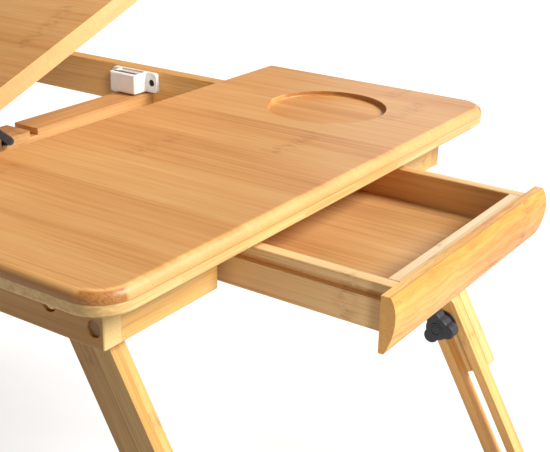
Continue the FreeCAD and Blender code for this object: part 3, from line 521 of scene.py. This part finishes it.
@dataclass(frozen=True)
class MagnetStack:
    """Steel pole plates round a pale moulded spacer that hides the magnet.

    The eye reads a dark pressed edge in front and a clouded cream block behind it.
    """

    name: str
    steel: str
    spacer: str
    steel_to: float                 # mm in depth where the front plate ends
    step: float = 0.4               # mm over which the two meet
    cloud: float = 2.0              # mm between clouds of dirt
    roughness: float = 0.5
    relief: float = 0.05            # mm

    def build(self) -> Material:
        """Builds the material.

        Returns:
            A procedural material that changes from steel to moulding.
        """
        shader = Shader(bpy.data.materials.new(self.name))
        where = shader.add("TexCoord").outputs["Object"]
        depth = shader.add("SeparateXYZ", where).outputs[1]
        share = shader.add("MapRange", depth, self.steel_to * MM,
                           (self.steel_to + self.step) * MM)
        cloud = shader.add("TexNoise", named={"Vector": where, "Detail": 4.0,
                                              "Scale": 1 / (self.cloud * MM)})
        colour = shader.add("Mix", named={0: share, 6: linear(self.steel),
                                          7: linear(self.spacer)}, data_type="RGBA")
        dirt = shader.add("MapRange", cloud, 0.4, 0.8, 0.0, 0.35)
        colour = shader.add("Mix", named={0: dirt, 6: colour, 7: linear(self.steel)},
                            data_type="RGBA")
        bump = shader.add("Bump", named={"Strength": 0.15, "Height": cloud,
                                         "Distance": self.relief * MM})
        return shader.finish(shader.add("BsdfPrincipled", named={
            "Base Color": colour, "Roughness": self.roughness, "Normal": bump,
            "IOR": 1.5}))


def paint(material: Material, *nodes: str) -> None:
    """Gives CAD nodes a material.

    Args:
        material: Finish for all of them.
        *nodes: Node names.
    """
    for name in nodes:
        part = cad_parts[name]
        if not part.material_slots:
            part.data.materials.append(material)
        for place in part.material_slots:
            place.material = material
        LOG.info("%s dressed in %s", name, material.name)


def soften(width: float, *nodes: str) -> None:
    """Eases the sharp edges of CAD nodes with modifiers.

    Args:
        width: Width of the eased edge in millimetres.
        *nodes: Node names.
    """
    for name in nodes:
        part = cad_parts[name]
        weld = part.modifiers.new("join_corners", "WELD")
        weld.merge_threshold = WELD_WITHIN * MM
        bevel = part.modifiers.new("eased_edge", "BEVEL")
        bevel.width = width * MM
        bevel.segments = EASED_STEPS
        bevel.limit_method = "ANGLE"
        bevel.angle_limit = math.radians(EASED_FROM)


def place_object(name: str, data: ID) -> Object:
    """Puts data into the scene as an object.

    Args:
        name: Name of the object.
        data: Mesh, lamp or camera.

    Returns:
        The object.
    """
    item = bpy.data.objects.new(name, data)
    bpy.context.scene.collection.objects.link(item)
    return item


def to_data(name: str, mesh: BMesh) -> Mesh:
    """Turns a mesh that is being built into mesh data.

    Args:
        name: Name of the data.
        mesh: Finished mesh; freed here.

    Returns:
        The mesh data.
    """
    data = bpy.data.meshes.new(name)
    mesh.to_mesh(data)
    mesh.free()
    return data


def make_piece(
    name: str, mesh: BMesh, material: Material, body: str
) -> Object:
    """Turns a mesh into a piece that rides on a body.

    Args:
        name: Name of the piece.
        mesh: Geometry in metres in the frame's axes; it is freed here.
        material: Finish.
        body: CAD body that carries the piece.

    Returns:
        The new object.
    """
    data = to_data(name, mesh)
    data.materials.append(material)
    data.shade_smooth()
    data.set_sharp_from_angle(angle=math.radians(SMOOTH_BELOW))
    piece = place_object(name, data)
    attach(piece, body)
    LOG.info("%s rides on %s", name, body)
    return piece


def corners(node: str) -> tuple[Vector, Vector]:
    """Gives a node's lowest and highest corners at rest as vectors."""
    low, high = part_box(node)
    return Vector(low), Vector(high)


def aim(axis: Vector, origin: Vector) -> Matrix:
    """Matrix that carries the local Z axis onto a direction at a place."""
    return Matrix.Translation(origin) @ axis.to_track_quat("Z", "Y").to_matrix().to_4x4()


def lathe(profile: list[tuple[float, float]], steps: int = 48) -> BMesh:
    """Turns a closed solid from a profile about the local Z axis.

    Args:
        profile: Radius and height pairs in millimetres, starting and ending on the axis.
        steps: Divisions round the axis.

    Returns:
        The turned mesh in metres.
    """
    mesh = bmesh.new()
    turns = [2 * math.pi * step / steps for step in range(steps)]
    rings: list[list[BMVert]] = []
    for radius, height in profile:
        if radius == 0:
            rings.append([mesh.verts.new((0, 0, height * MM))])
            continue
        rings.append([
            mesh.verts.new((radius * MM * math.cos(turn), radius * MM * math.sin(turn),
                            height * MM))
            for turn in turns])
    for low, high in zip(rings, rings[1:]):
        for i in range(steps):
            j = (i + 1) % steps
            if len(low) == 1:
                mesh.faces.new((low[0], high[j], high[i]))
            elif len(high) == 1:
                mesh.faces.new((low[i], low[j], high[0]))
            else:
                mesh.faces.new((low[i], low[j], high[j], high[i]))
    bmesh.ops.recalc_face_normals(mesh, faces=mesh.faces)
    return mesh


def carve(target: BMesh, cutter: BMesh) -> BMesh:
    """Cuts one mesh out of another.

    Args:
        target: Mesh to keep; freed here.
        cutter: Mesh to remove; freed here.

    Returns:
        The cut mesh.
    """
    kept, removed = (place_object(name, to_data(name, mesh))
                     for name, mesh in (("carve_target", target), ("carve_cutter", cutter)))
    cut = kept.modifiers.new("cut", "BOOLEAN")
    cut.object = removed
    cut.operation = "DIFFERENCE"
    cut.solver = "EXACT"
    bpy.context.view_layer.update()
    graph = bpy.context.evaluated_depsgraph_get()
    result = bmesh.new()
    result.from_mesh(kept.evaluated_get(graph).to_mesh())
    for item in (kept, removed):
        data = item.data
        bpy.data.objects.remove(item)
        bpy.data.meshes.remove(data)
    return result


def join(mesh: BMesh, extra: BMesh, move: Matrix) -> None:
    """Adds one mesh to another.

    Args:
        mesh: Mesh that grows.
        extra: Mesh to add; freed here.
        move: Matrix that brings it to its place.
    """
    bmesh.ops.transform(extra, matrix=move, verts=extra.verts)
    data = to_data("extra", extra)
    mesh.from_mesh(data)
    bpy.data.meshes.remove(data)


class Drive(Enum):
    """Recess in a screw or bolt head."""

    CROSS = "cross"
    SLOT = "slot"
    SOCKET = "socket"
    PLAIN = "plain"


@dataclass(frozen=True)
class FastenerHead:
    """Head of a screw or bolt, built with its seat at zero and its crown up."""

    radius: float                   # mm
    height: float                   # mm
    drive: Drive
    crown: float = 0.55             # share of the height that is domed
    depth: float = 0.7              # share of the height that the recess takes
    spread: float = 0.55            # recess half width as a share of the radius
    blade: float = 0.13             # half width of a slot as a share of the radius
    slot_reach: float = 1.3         # half length of a slot as a share of the radius
    rim: tuple[float, float] = (0.97, 0.05)  # eased foot, as shares of radius and height
    dome: float = 0.7               # power of the cosine, flatter below one
    dome_steps: int = 7
    clearance: float = 1.5          # top of the recess's cutter as a share of the height

    def build(self) -> BMesh:
        """Builds the head.

        Returns:
            Mesh in metres with its axis on local Z.
        """
        wall = self.height * (1 - self.crown)
        foot, eased = self.rim
        profile = [(0.0, 0.0), (self.radius * foot, 0.0), (self.radius, self.height * eased),
                   (self.radius, wall)]
        for step in range(1, self.dome_steps):
            angle = math.pi / 2 * step / self.dome_steps
            profile.append((self.radius * math.cos(angle) ** self.dome,
                            wall + (self.height - wall) * math.sin(angle)))
        head = lathe([*profile, (0.0, self.height)])
        if self.drive is Drive.PLAIN:
            return head
        return carve(head, self.recess())

    def outline(self) -> list[complex]:
        """Draws the recess as it is seen along the axis.

        Returns:
            Corners in millimetres, across and up, in turn round the recess.
        """
        reach = self.radius * self.spread
        thin = self.radius * self.blade
        if self.drive is Drive.SOCKET:
            turns = [math.radians(60 * side) for side in range(6)]
            return [complex(reach * math.cos(turn), reach * math.sin(turn)) for turn in turns]
        if self.drive is Drive.SLOT:
            end = complex(self.radius * self.slot_reach, thin)
            return [end.conjugate(), end, -end.conjugate(), -end]
        arm = (complex(reach, -thin), complex(reach, thin), complex(thin, thin))
        return [corner * 1j ** quarter for quarter in range(4) for corner in arm]

    def recess(self) -> BMesh:
        """Builds the cutter for the drive.

        Returns:
            Mesh that reaches above the crown.
        """
        cutter = bmesh.new()
        outline = self.outline()
        below, above = (
            [cutter.verts.new((at.real * MM, at.imag * MM, self.height * share * MM))
             for at in outline]
            for share in (1 - self.depth, self.clearance))
        cutter.faces.new(below[::-1])
        cutter.faces.new(above)
        for here in range(len(outline)):
            after = (here + 1) % len(outline)
            cutter.faces.new((below[here], below[after], above[after], above[here]))
        bmesh.ops.recalc_face_normals(cutter, faces=cutter.faces)
        return cutter

    def place(self, mesh: BMesh, seat: Vector, axis: Vector, turn: float) -> None:
        """Adds this head to a mesh at a seat, with its crown along an axis."""
        join(mesh, self.build(), aim(axis, seat) @ Matrix.Rotation(math.radians(turn), 4, "Z"))

    def fit(
        self, name: str, spots: Iterable[Spot], material: Material, body: str,
        stand_in: str | None = None,
    ) -> None:
        """Makes a piece of several such heads.

        Args:
            name: Name of the piece.
            spots: Where each head sits.
            material: Finish.
            body: CAD body that carries the piece.
            stand_in: CAD node of plain heads that the piece replaces, if there is one.
        """
        mesh = bmesh.new()
        for seat, axis, turn in spots:
            self.place(mesh, seat, axis, turn)
        piece = make_piece(name, mesh, material, body)
        if stand_in is not None:
            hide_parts(stand_in)


@dataclass
class Boards:
    """Table top: a fixed part with a cup recess and a tilting part."""

    strip: float = 46.0             # mm, width of the glued strips in the face
    layer: float = 5.5              # mm, two layers through the top
    underside: float = 231.59       # mm above the floor
    turned_underside: float = 271.8  # mm, the same plane in the tilted board's own axes
    cup: Quad = (183.1, 104.1, 36.5, 242.6)  # mm: x, y, radius, height of the surface

    def dress(self) -> None:
        """Gives both boards and the laptop strip their bamboo."""
        fixed = Bamboo("bamboo_flat_laminated_fixed_top", "F9C980", "EFB069", "CF8D48",
                       Grain.ALONG_X, self.strip, self.layer, width_from=9.0,
                       depth_from=self.underside, contrast=0.16, seed=3.0,
                       end_shade="F4B673", end_share=0.7, tone_low=0.25, tone_high=0.27,
                       backing=("F6CE88", "E3B06C"), slant_shade="A9641F",
                       hollow=self.cup)
        tilting = Bamboo("bamboo_flat_laminated_tilting_top", "EBBC7D", "DDA361", "C38343",
                         Grain.TILTED_TOP, self.strip, self.layer, width_from=21.0,
                         depth_from=self.turned_underside, contrast=0.16, seed=8.0,
                         end_shade="F2B57E", end_share=0.65)
        paint(fixed.build(), "fixed_top")
        paint(tilting.build(), "tilting_top", "stop_ledge")
        soften(0.35, "fixed_top")


@dataclass
class Rails:
    """Frame of rails, notched rack and drawer guides."""

    bottom: float = 203.59          # mm, underside of the rails above the floor
    strip: float = 30.0             # mm, wider than any rail is thick
    layer: float = 14.0             # mm, two strips up a rail

    def dress(self) -> None:
        """Gives the rails their bamboo and the plugs end grain."""
        rail = partial(Bamboo, strip_width=self.strip, strip_depth=self.layer,
                       depth_from=self.bottom, contrast=0.2)
        # The front rail's darker, browner colours are painted shade for the shadow under the
        # top's overhang; its sawn end, which faces the key light, takes a light end colour at a
        # high share.
        front = rail("bamboo_edge_laminated_front_rail", "D29A42", "C28834", "A26B20",
                     Grain.ALONG_X, seed=12.0, end_shade="FAD892", end_share=0.9)
        back = rail("bamboo_edge_laminated_back_rail", "F4C680", "EBB56A", "D4994F",
                    Grain.ALONG_X, seed=15.0)
        cross = rail("bamboo_edge_laminated_cross_rails", "FACE84", "F2BE6C", "DCA050",
                     Grain.ALONG_Y, wander=1.2, seed=21.0)
        rack = Bamboo("bamboo_edge_laminated_rack", "DDA96C", "CD9457", "B27A3E",
                      Grain.ALONG_Y, 11.0, 12.0, depth_from=self.bottom, contrast=0.25,
                      seed=27.0)
        # Plug colours follow the front rail's darkened colours: darker end grain, plus the same
        # painted shade as that rail.
        plug = Bamboo("bamboo_dowel_plug_end_grain", "A97B42", "9A6C36", "82582A",
                      Grain.ALONG_Y, 3.0, 3.0, contrast=0.5, seed=31.0,
                      end_shade="9A6C36")
        paint(front.build(), "front_rail")
        paint(back.build(), "back_rail", "drawer_guide_front", "drawer_guide_back")
        paint(cross.build(), "left_rail", "right_block_front", "right_block_back",
              "drawer_stop")
        paint(rack.build(), "prop_rack")
        paint(plug.build(), "rail_plugs")
        soften(0.5, "drawer_stop", "prop_rack")


@dataclass
class Finishes:
    """Hardware finishes that several assemblies share."""

    zinc: Material
    chromate: Material
    black_steel: Material
    wire: Material
    white: Material
    nylon: Material

    @classmethod
    def make(cls) -> "Finishes":
        """Builds the shared hardware materials.

        Returns:
            All of them, each made once.
        """
        return cls(
            # Bright zinc over turned steel: light grey, slightly blue, soft gloss.
            zinc=PlatedSteel("zinc_plated_steel", "C9CCD0", "A3A6AA", 0.34).build(),
            # Zinc with a yellow chromate dip: warm pale gold, cloudy.
            chromate=PlatedSteel("yellow_chromated_steel", "C8A870", "9A7C4C", 0.42).build(),
            # Blackened steel of the strike plate and small screws: dark, brownish sheen.
            black_steel=PlatedSteel("blackened_pressed_steel", "4A4340", "2E2A29",
                                    0.42).build(),
            # Drawn steel wire under black epoxy: nearly black with a soft line of light.
            wire=PlatedSteel("black_epoxy_coated_steel_wire", "242120", "191716", 0.50,
                             metallic=0.0).build(),
            # White ABS of the catch: clean, semi-gloss, slightly warm.
            white=MouldedPlastic("white_moulded_abs", "F1F1EE", "E4E3DE", 0.32,
                                 relief=0.05).build(),
            # Glass-filled nylon of knobs and hooks: charcoal, matt.
            nylon=MouldedPlastic("black_moulded_nylon", "2E2F33", "3A3B40", 0.52,
                                 relief=0.22).build(),
        )


@dataclass
class Assembly(ABC):
    """Part of the desk with hardware in the shared finishes."""

    finishes: Finishes

    @abstractmethod
    def dress(self) -> None:
        """Gives the CAD nodes their finishes and adds the new pieces."""


@dataclass
class Catch(Assembly):
    """Magnetic catch on the back rail."""

    screw: FastenerHead = FastenerHead(2.4, 1.5, Drive.SLOT)
    sunk: float = 0.2               # mm, seat of the screws in the ears
    plate_to: float = 133.2         # mm, depth at which the dark plate ends

    def dress(self) -> None:
        """Dresses the case and plates and adds slotted screws."""
        stack = MagnetStack("steel_pole_plates_and_spacer", "6B6058", "D9D2C6", self.plate_to)
        paint(self.finishes.white, "catch_case")
        paint(stack.build(), "catch_plates")
        paint(self.finishes.black_steel, "strike_plate")
        soften(0.15, "catch_plates", "strike_plate")
        low, high = corners("catch_screws")
        radius = (high.z - low.z) / 2
        spots = [(Vector((x, high.y - self.sunk * MM, (low.z + high.z) / 2)),
                  Vector((0, -1, 0)), turn)
                 for x, turn in ((low.x + radius, 25.0), (high.x - radius, 70.0))]
        self.screw.fit("catch_screw_heads", spots, self.finishes.black_steel, "frame",
                       "catch_screws")


@dataclass
class Tilt:
    """Rest tilt of the top about its hinge, in millimetres and degrees."""

    angle: float = 21.0
    axis_y: float = -154.7
    axis_z: float = 229.69
    underside: float = 231.89

    def point(self, x: float, y: float, z: float) -> Vector:
        """Turns a point of the closed top up to the rest tilt.

        Args:
            x: Place along the hinge.
            y: Depth with the top closed.
            z: Height with the top closed.

        Returns:
            The place at rest in metres.
        """
        hinge = Vector((0.0, self.axis_y, self.axis_z))
        turn = Matrix.Rotation(math.radians(self.angle), 3, "X")
        return (hinge + turn @ (Vector((x, y, z)) - hinge)) * MM

    def down(self) -> Vector:
        """Gives the direction that faces out of the top's underside."""
        return Matrix.Rotation(math.radians(self.angle), 3, "X") @ Vector((0, 0, -1))


@dataclass
class TiltHinges(Assembly):
    """Butt hinges between the front rail and the tilting top, in millimetres."""

    screw: FastenerHead = FastenerHead(1.7, 0.8, Drive.CROSS)
    length: float = 30.0
    leaf: float = 1.0               # thickness of a leaf
    inset: float = 5.0              # screw to the end of the leaf
    rise: float = 5.5               # rail leaf screw above the leaf's lower edge
    reach: float = 9.0              # top leaf screw in front of the hinge axis

    def dress(self) -> None:
        """Dresses leaves and pins and adds their screws."""
        zinc = self.finishes.zinc
        paint(zinc, "hinge_frame_leaves", "hinge_top_leaves", "hinge_pins")
        low, high = corners("hinge_frame_leaves")
        face = corners("front_rail")[0].y - self.leaf * MM
        tilt = Tilt()
        on_rail: list[Spot] = []
        on_top: list[Spot] = []
        for left in (low.x, high.x - self.length * MM):
            for part in (self.inset, self.length - self.inset):
                x = left + part * MM
                on_rail.append((Vector((x, face, low.z + self.rise * MM)),
                                Vector((0, -1, 0)), 20.0 + part))
                under = tilt.point(x / MM, tilt.axis_y - self.reach,
                                   tilt.underside - self.leaf)
                on_top.append((under, tilt.down(), 50.0 + 2 * part))
        self.screw.fit("hinge_rail_screws", on_rail, zinc, "frame")
        self.screw.fit("hinge_top_screws", on_top, zinc, "top")


@dataclass
class StrikeScrews(Assembly):
    """Two small screws that hold the strike plate under the tilting top."""

    screw: FastenerHead = FastenerHead(1.5, 0.5, Drive.CROSS, crown=0.7)
    spread: float = 8.0             # mm, screw to the middle of the plate
    depth: float = 136.25           # mm, plate's middle with the top closed
    plate: float = 0.8              # mm, thickness of the plate

    def dress(self) -> None:
        """Adds the screws."""
        low, high = corners("strike_plate")
        middle = (low.x + high.x) / 2 / MM
        tilt = Tilt()
        spots = [(tilt.point(middle + offset, self.depth, tilt.underside - self.plate),
                  tilt.down(), turn)
                 for offset, turn in ((-self.spread, 15.0), (self.spread, 62.0))]
        self.screw.fit("strike_plate_screws", spots, self.finishes.zinc, "top")


@dataclass
class WireProp(Assembly):
    """Bent wire prop and the hooks that its pins bear in."""

    screw: FastenerHead = FastenerHead(2.6, 0.8, Drive.CROSS, crown=0.7)

    def dress(self) -> None:
        """Dresses the wire and hooks and replaces the hook screws."""
        paint(self.finishes.wire, "prop_bail")
        paint(self.finishes.nylon, "prop_hooks")
        soften(0.3, "prop_hooks")
        low, high = corners("hook_screws")
        down = Tilt().down()
        radius = self.screw.radius * MM
        sink = down * self.screw.height / 2 * MM
        spots = [(Vector((x, (low.y + high.y) / 2, (low.z + high.z) / 2)) - sink, down, turn)
                 for x, turn in ((low.x + radius, 30.0), (high.x - radius, 75.0))]
        self.screw.fit("hook_screw_heads", spots, self.finishes.zinc, "top", "hook_screws")


@dataclass
class Drawer(Assembly):
    """Drawer with its overhanging front board."""

    screw: FastenerHead = FastenerHead(3.3, 0.9, Drive.CROSS, crown=0.8)
    strip: float = 9.0              # mm, strips through the box's boards
    layer: float = 30.0             # mm, higher than these boards
    bottom: float = 200.0           # mm above the floor, just under these boards

    def dress(self) -> None:
        """Dresses the drawer and replaces its screw heads."""
        box = partial(Bamboo, strip_width=self.strip, strip_depth=self.layer,
                      depth_from=self.bottom, contrast=0.25)
        sides = box("bamboo_edge_laminated_drawer_sides", "F8D49A", "F2C284", "DCA866",
                    Grain.ALONG_X, seed=41.0)
        ends = box("bamboo_edge_laminated_drawer_ends", "F3D5A8", "E9C490", "D4AA75",
                   Grain.ALONG_Y, seed=44.0)
        board = Bamboo("bamboo_flat_sawn_drawer_front", "F4C66C", "E6A54C", "C2742C",
                       Grain.ALONG_Y, 40.0, 40.0, width_from=310.0, depth_from=196.0,
                       contrast=0.05, wander=5.0, joint_gap=150.0, joint_depth=0.5,
                       seed=52.0, end_shade="E8AC62", end_share=0.6)
        floor = Bamboo("bamboo_thin_plywood_drawer_floor", "E3B67E", "D6A469", "BF8A52",
                       Grain.ALONG_X, 30.0, 3.5, seed=58.0)
        paint(sides.build(), "drawer_side_front", "drawer_side_back")
        paint(ends.build(), "drawer_inner_front", "drawer_inner_back")
        paint(board.build(), "drawer_front")
        paint(floor.build(), "drawer_floor")
        low, high = corners("drawer_screws")
        radius = (high.z - low.z) / 2
        spots = [(Vector((high.x, y, (low.z + high.z) / 2)), Vector((-1, 0, 0)), turn)
                 for y, turn in ((low.y + radius, 12.0), (high.y - radius, 55.0))]
        self.screw.fit("drawer_screw_heads", spots, self.finishes.zinc, "drawer",
                       "drawer_screws")


class Side(Enum):
    """Side of the desk that a pair of legs stands on."""

    RIGHT = ("right", Grain.RIGHT_LEG)
    LEFT = ("left", Grain.LEFT_LEG)


@dataclass
class LegPair(Assembly):
    """Two telescoping legs of one side with their foot bar and knobs."""

    side: Side
    head: FastenerHead = FastenerHead(6.1, 2.3, Drive.PLAIN, crown=0.85)
    shank: float = 3.0              # mm, radius over the thread
    thread: float = 0.28            # mm, depth of the thread
    pitch: float = 1.0              # mm
    shank_steps: int = 24           # divisions round the thread
    engaged: float = 6.0            # mm, thread end past the knob's first face
    cap: float = 4.4                # mm, radius of the knob's cap
    cap_sunk: float = 0.1           # mm, foot of the cap below the knob's face
    strip: float = 4.9              # mm, two strips through the front upper leg
    front: float = -141.7           # mm, that leg's front face

    def dress(self) -> None:
        """Dresses the legs and their hardware."""
        word, grain = self.side.value
        leg = partial(Bamboo, grain=grain, strip_depth=12.0, wander=0.8, joint_gap=210.0)
        # The front upper leg's darker colours are painted shade for the near leg's front face,
        # which stands in the top's shade; the back upper leg keeps lighter ones.
        front = leg(f"bamboo_flat_laminated_{word}_upper_leg_front", "F4C878", "D89C4C",
                    "B07830", strip_width=self.strip, width_from=self.front, contrast=0.45,
                    seed=69.0 + len(word))
        back = leg(f"bamboo_flat_laminated_{word}_upper_leg_back", "F8DCA4", "EFCB8A",
                   "DBAA64", strip_width=40.0, contrast=0.25, seed=63.0 + len(word))
        lower = leg(f"bamboo_edge_laminated_{word}_lower_legs", "F8CB88", "EDB76C",
                    "CE914A", strip_width=40.0, contrast=0.25, seed=66.0 + len(word))
        bar = Bamboo(f"bamboo_edge_laminated_{word}_foot_bar", "EDBE80", "E0AA69", "CC9150",
                     Grain.ALONG_Y, 9.0, 9.0, seed=71.0 + len(word))
        legs = [f"{word}_{part}_leg_{end}" for part in ("upper", "lower")
                for end in ("front", "back")]
        paint(front.build(), legs[0])
        paint(back.build(), legs[1])
        paint(lower.build(), *legs[2:])
        paint(bar.build(), f"{word}_foot_bar")
        paint(self.finishes.nylon, f"{word}_knob_front", f"{word}_knob_back")
        paint(self.finishes.zinc, f"{word}_clamp_washers")
        bolts = f"{word}_clamp_bolts"
        low, high = corners(bolts)
        middle = (low + high) / 2
        self.clamp_bolts(word, bolts, middle, high.y)
        for end, outward in (("front", 1), ("back", -1)):
            self.knob_cap(f"{word}_knob_{end}", outward, middle)
        soften(0.5, *legs)

    def clamp_bolts(self, word: str, bolts: str, middle: Vector, outer: float) -> None:
        """Replaces both clamp bolts with domed heads on threaded shanks.

        Args:
            word: Side of the desk.
            bolts: CAD node of the plain bolts.
            middle: Middle of both bolts together.
            outer: How far the heads stand out to the front and to the back, in metres.
        """
        seat_at = outer - self.head.height * MM
        inner = abs(corners(f"{word}_knob_front")[0].y + self.engaged * MM)
        length = (seat_at - inner) / MM
        root = self.shank - self.thread
        rings = [(0.0, 0.0)]
        for step in range(int(length / self.pitch)):
            base = step * self.pitch
            rings += [(root, base), (self.shank, base + self.pitch / 2)]
        rings += [(root, length), (0.0, length)]
        mesh = bmesh.new()
        for sign in (-1, 1):
            seat = Vector((middle.x, sign * seat_at, middle.z))
            out = Vector((0, sign, 0))
            self.head.place(mesh, seat, out, 0.0)
            join(mesh, lathe(rings, self.shank_steps), aim(-out, seat))
        piece = make_piece(f"{word}_carriage_bolts", mesh, self.finishes.zinc,
                           f"{word}_legs_upper")
        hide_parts(bolts)

    def knob_cap(self, name: str, outward: int, middle: Vector) -> None:
        """Adds the moulded cap in the middle of a knob's face.

        Args:
            name: CAD node and body of the knob.
            outward: Sign of the direction along Y that the knob's face looks.
            middle: Middle of both bolts together.
        """
        low, high = corners(name)
        face = high.y if outward > 0 else low.y
        seat = Vector((middle.x, face - outward * self.cap_sunk * MM, middle.z))
        rim = self.cap
        mesh = bmesh.new()
        join(mesh, lathe([(0.0, 0.0), (rim, 0.0), (rim, 0.35), (rim - 0.3, 0.6),
                          (rim - 0.9, 0.6), (rim - 1.1, 0.3), (rim - 1.5, 0.3),
                          (rim - 1.7, 0.55), (0.0, 0.6)]),
             aim(Vector((0, outward, 0)), seat))
        make_piece(f"{name}_cap", mesh, self.finishes.nylon, name)


@dataclass
class PivotHardware(Assembly):
    """Bolts and nuts that the legs turn on."""

    crown: FastenerHead = FastenerHead(4.1, 1.0, Drive.SOCKET, crown=0.8, depth=0.98,
                                       spread=0.56)
    head_radius: float = 4.2        # mm

    def dress(self) -> None:
        """Dresses bolts and nuts and puts a socket crown on each sunk head."""
        chromate = self.finishes.chromate
        paint(chromate, "pivot_bolts", "pivot_nuts")
        soften(0.3, "pivot_nuts")
        low, high = corners("pivot_bolts")
        height = (low.z + high.z) / 2
        spots = [(Vector((x, y, height)), Vector((0, out, 0)), 12.0 * out)
                 for x in (low.x + self.head_radius * MM, high.x - self.head_radius * MM)
                 for y, out in ((low.y, -1), (high.y, 1))]
        self.crown.fit("pivot_bolt_crowns", spots, chromate, "frame")


@dataclass
class Studio:
    """Plain white room, soft light and camera."""

    place: Triple = (512.07, -432.69, 416.94)  # mm
    yaw: float = 34.24              # degrees, as are the next two
    pitch: float = 21.96
    roll: float = 1.03
    lens: float = 69.57             # mm
    sensor: float = 36.0            # mm
    near: float = 0.02              # m
    far: float = 60.0               # m
    floor_size: float = 14.0        # m
    floor_drop: float = 0.0002      # m, floor below the feet
    floor_shade: str = "A8A8A6"
    floor_glow: float = 0.72
    sky: float = 0.22               # light of the sky, which looks pure white
    key: float = 4.6                # W per square metre

    def camera(self) -> None:
        """Places the camera."""
        yaw, pitch, roll = (math.radians(a) for a in (self.yaw, self.pitch, self.roll))
        forward = Vector((-math.sin(yaw) * math.cos(pitch), math.cos(yaw) * math.cos(pitch),
                          -math.sin(pitch)))
        right = Vector((math.cos(yaw), math.sin(yaw), 0.0))
        up = right.cross(forward)
        side = math.cos(roll) * right + math.sin(roll) * up
        top = -math.sin(roll) * right + math.cos(roll) * up
        turn = Matrix((side, top, -forward)).transposed().to_4x4()
        data = bpy.data.cameras.new("camera")
        data.sensor_fit = "HORIZONTAL"
        data.sensor_width = self.sensor
        data.lens = self.lens
        data.clip_start = self.near
        data.clip_end = self.far
        camera = place_object("camera", data)
        camera.matrix_world = Matrix.Translation(Vector(self.place) * MM) @ turn
        bpy.context.scene.camera = camera

    def floor(self) -> None:
        """Lays a white floor that shows the shadow of the desk."""
        mesh = bmesh.new()
        bmesh.ops.create_grid(mesh, x_segments=1, y_segments=1, size=self.floor_size / 2)
        bmesh.ops.translate(mesh, verts=mesh.verts, vec=(0, 0, -self.floor_drop))
        shader = Shader(bpy.data.materials.new("white_painted_studio_floor"))
        rays = shader.add("LightPath").outputs
        seen = rays["Is Camera Ray"]
        for kind in ("Is Glossy Ray", "Is Transmission Ray"):
            seen = shader.add("Math", seen, rays[kind], operation="MAXIMUM")
        matt = shader.add("BsdfDiffuse", linear(self.floor_shade))
        glow = shader.add("Emission", linear("FFFFFF"), self.floor_glow)
        bright = shader.add("AddShader", matt, glow)
        data = to_data("studio_floor", mesh)
        data.materials.append(shader.finish(shader.add("MixShader", seen, matt, bright)))
        place_object("studio_floor", data)

    def light(self) -> None:
        """Sets a soft sky, one soft key from the right, two spots and a panel."""
        world = bpy.data.worlds.new("studio_sky")
        bpy.context.scene.world = world
        shader = Shader(world)
        seen = shader.add("LightPath").outputs["Is Camera Ray"]
        dim, white = (shader.add("Background", linear("FFFFFF"), strength)
                      for strength in (self.sky, 1.0))
        both = shader.add("MixShader", seen, dim, white)
        shader.add("OutputWorld", named={"Surface": both})
        beam = {"spot_blend": 1.0, "shadow_soft_size": 0.08}
        self.lamp("key_light", "SUN", self.key, (0.72, 0.26, 0.65), (0.0, 0.0, 0.0),
                  angle=math.radians(24.0))
        inside = self.lamp("inside_spot", "SPOT", 9.0, (0.45, -0.22, 0.46),
                           (-0.04, 0.13, 0.25), spot_size=math.radians(22.0), **beam)
        panel = self.lamp("sheen_panel", "AREA", 2.0, (-0.12, 1.25, 0.62),
                          (0.15, 0.05, 0.24), size=0.7)
        legs = self.lamp("leg_spot", "SPOT", 12.0, (0.75, -0.45, 0.16),
                         (0.27, 0.10, 0.13), spot_size=math.radians(28.0), **beam)
        inside.visible_glossy = False
        panel.visible_camera = False
        legs.visible_glossy = False

    def lamp(
        self, name: str, kind: str, power: float, place: Triple, target: Triple,
        **settings: float,
    ) -> Object:
        """Adds a lamp that faces a point of the desk.

        Args:
            name: Name of the lamp.
            kind: Blender's lamp type.
            power: Watts, or watts per square metre from a distant lamp.
            place: Metres; with a distant lamp only the direction counts.
            target: Point that it faces, in metres.
            **settings: Size, beam or spread in Blender's own terms.

        Returns:
            The lamp.
        """
        data = bpy.data.lights.new(name, kind)
        data.energy = power
        for key, value in settings.items():
            setattr(data, key, value)
        lamp = place_object(name, data)
        lamp.matrix_world = aim(Vector(place) - Vector(target), Vector(place))
        return lamp

    def build(self) -> None:
        """Builds camera, floor and light."""
        self.camera()
        self.floor()
        self.light()
        bpy.context.scene.view_settings.view_transform = "Standard"


def main() -> None:
    """Builds the studio and dresses every assembly in order."""
    logging.basicConfig(level=logging.INFO, format="%(name)s: %(message)s")
    Studio().build()
    finishes = Finishes.make()
    Boards().dress()
    Rails().dress()
    for assembly in (Catch, TiltHinges, StrikeScrews, WireProp, Drawer, PivotHardware):
        assembly(finishes).dress()
    for side in Side:
        LegPair(finishes, side).dress()


if __name__ == "__main__":
    main()
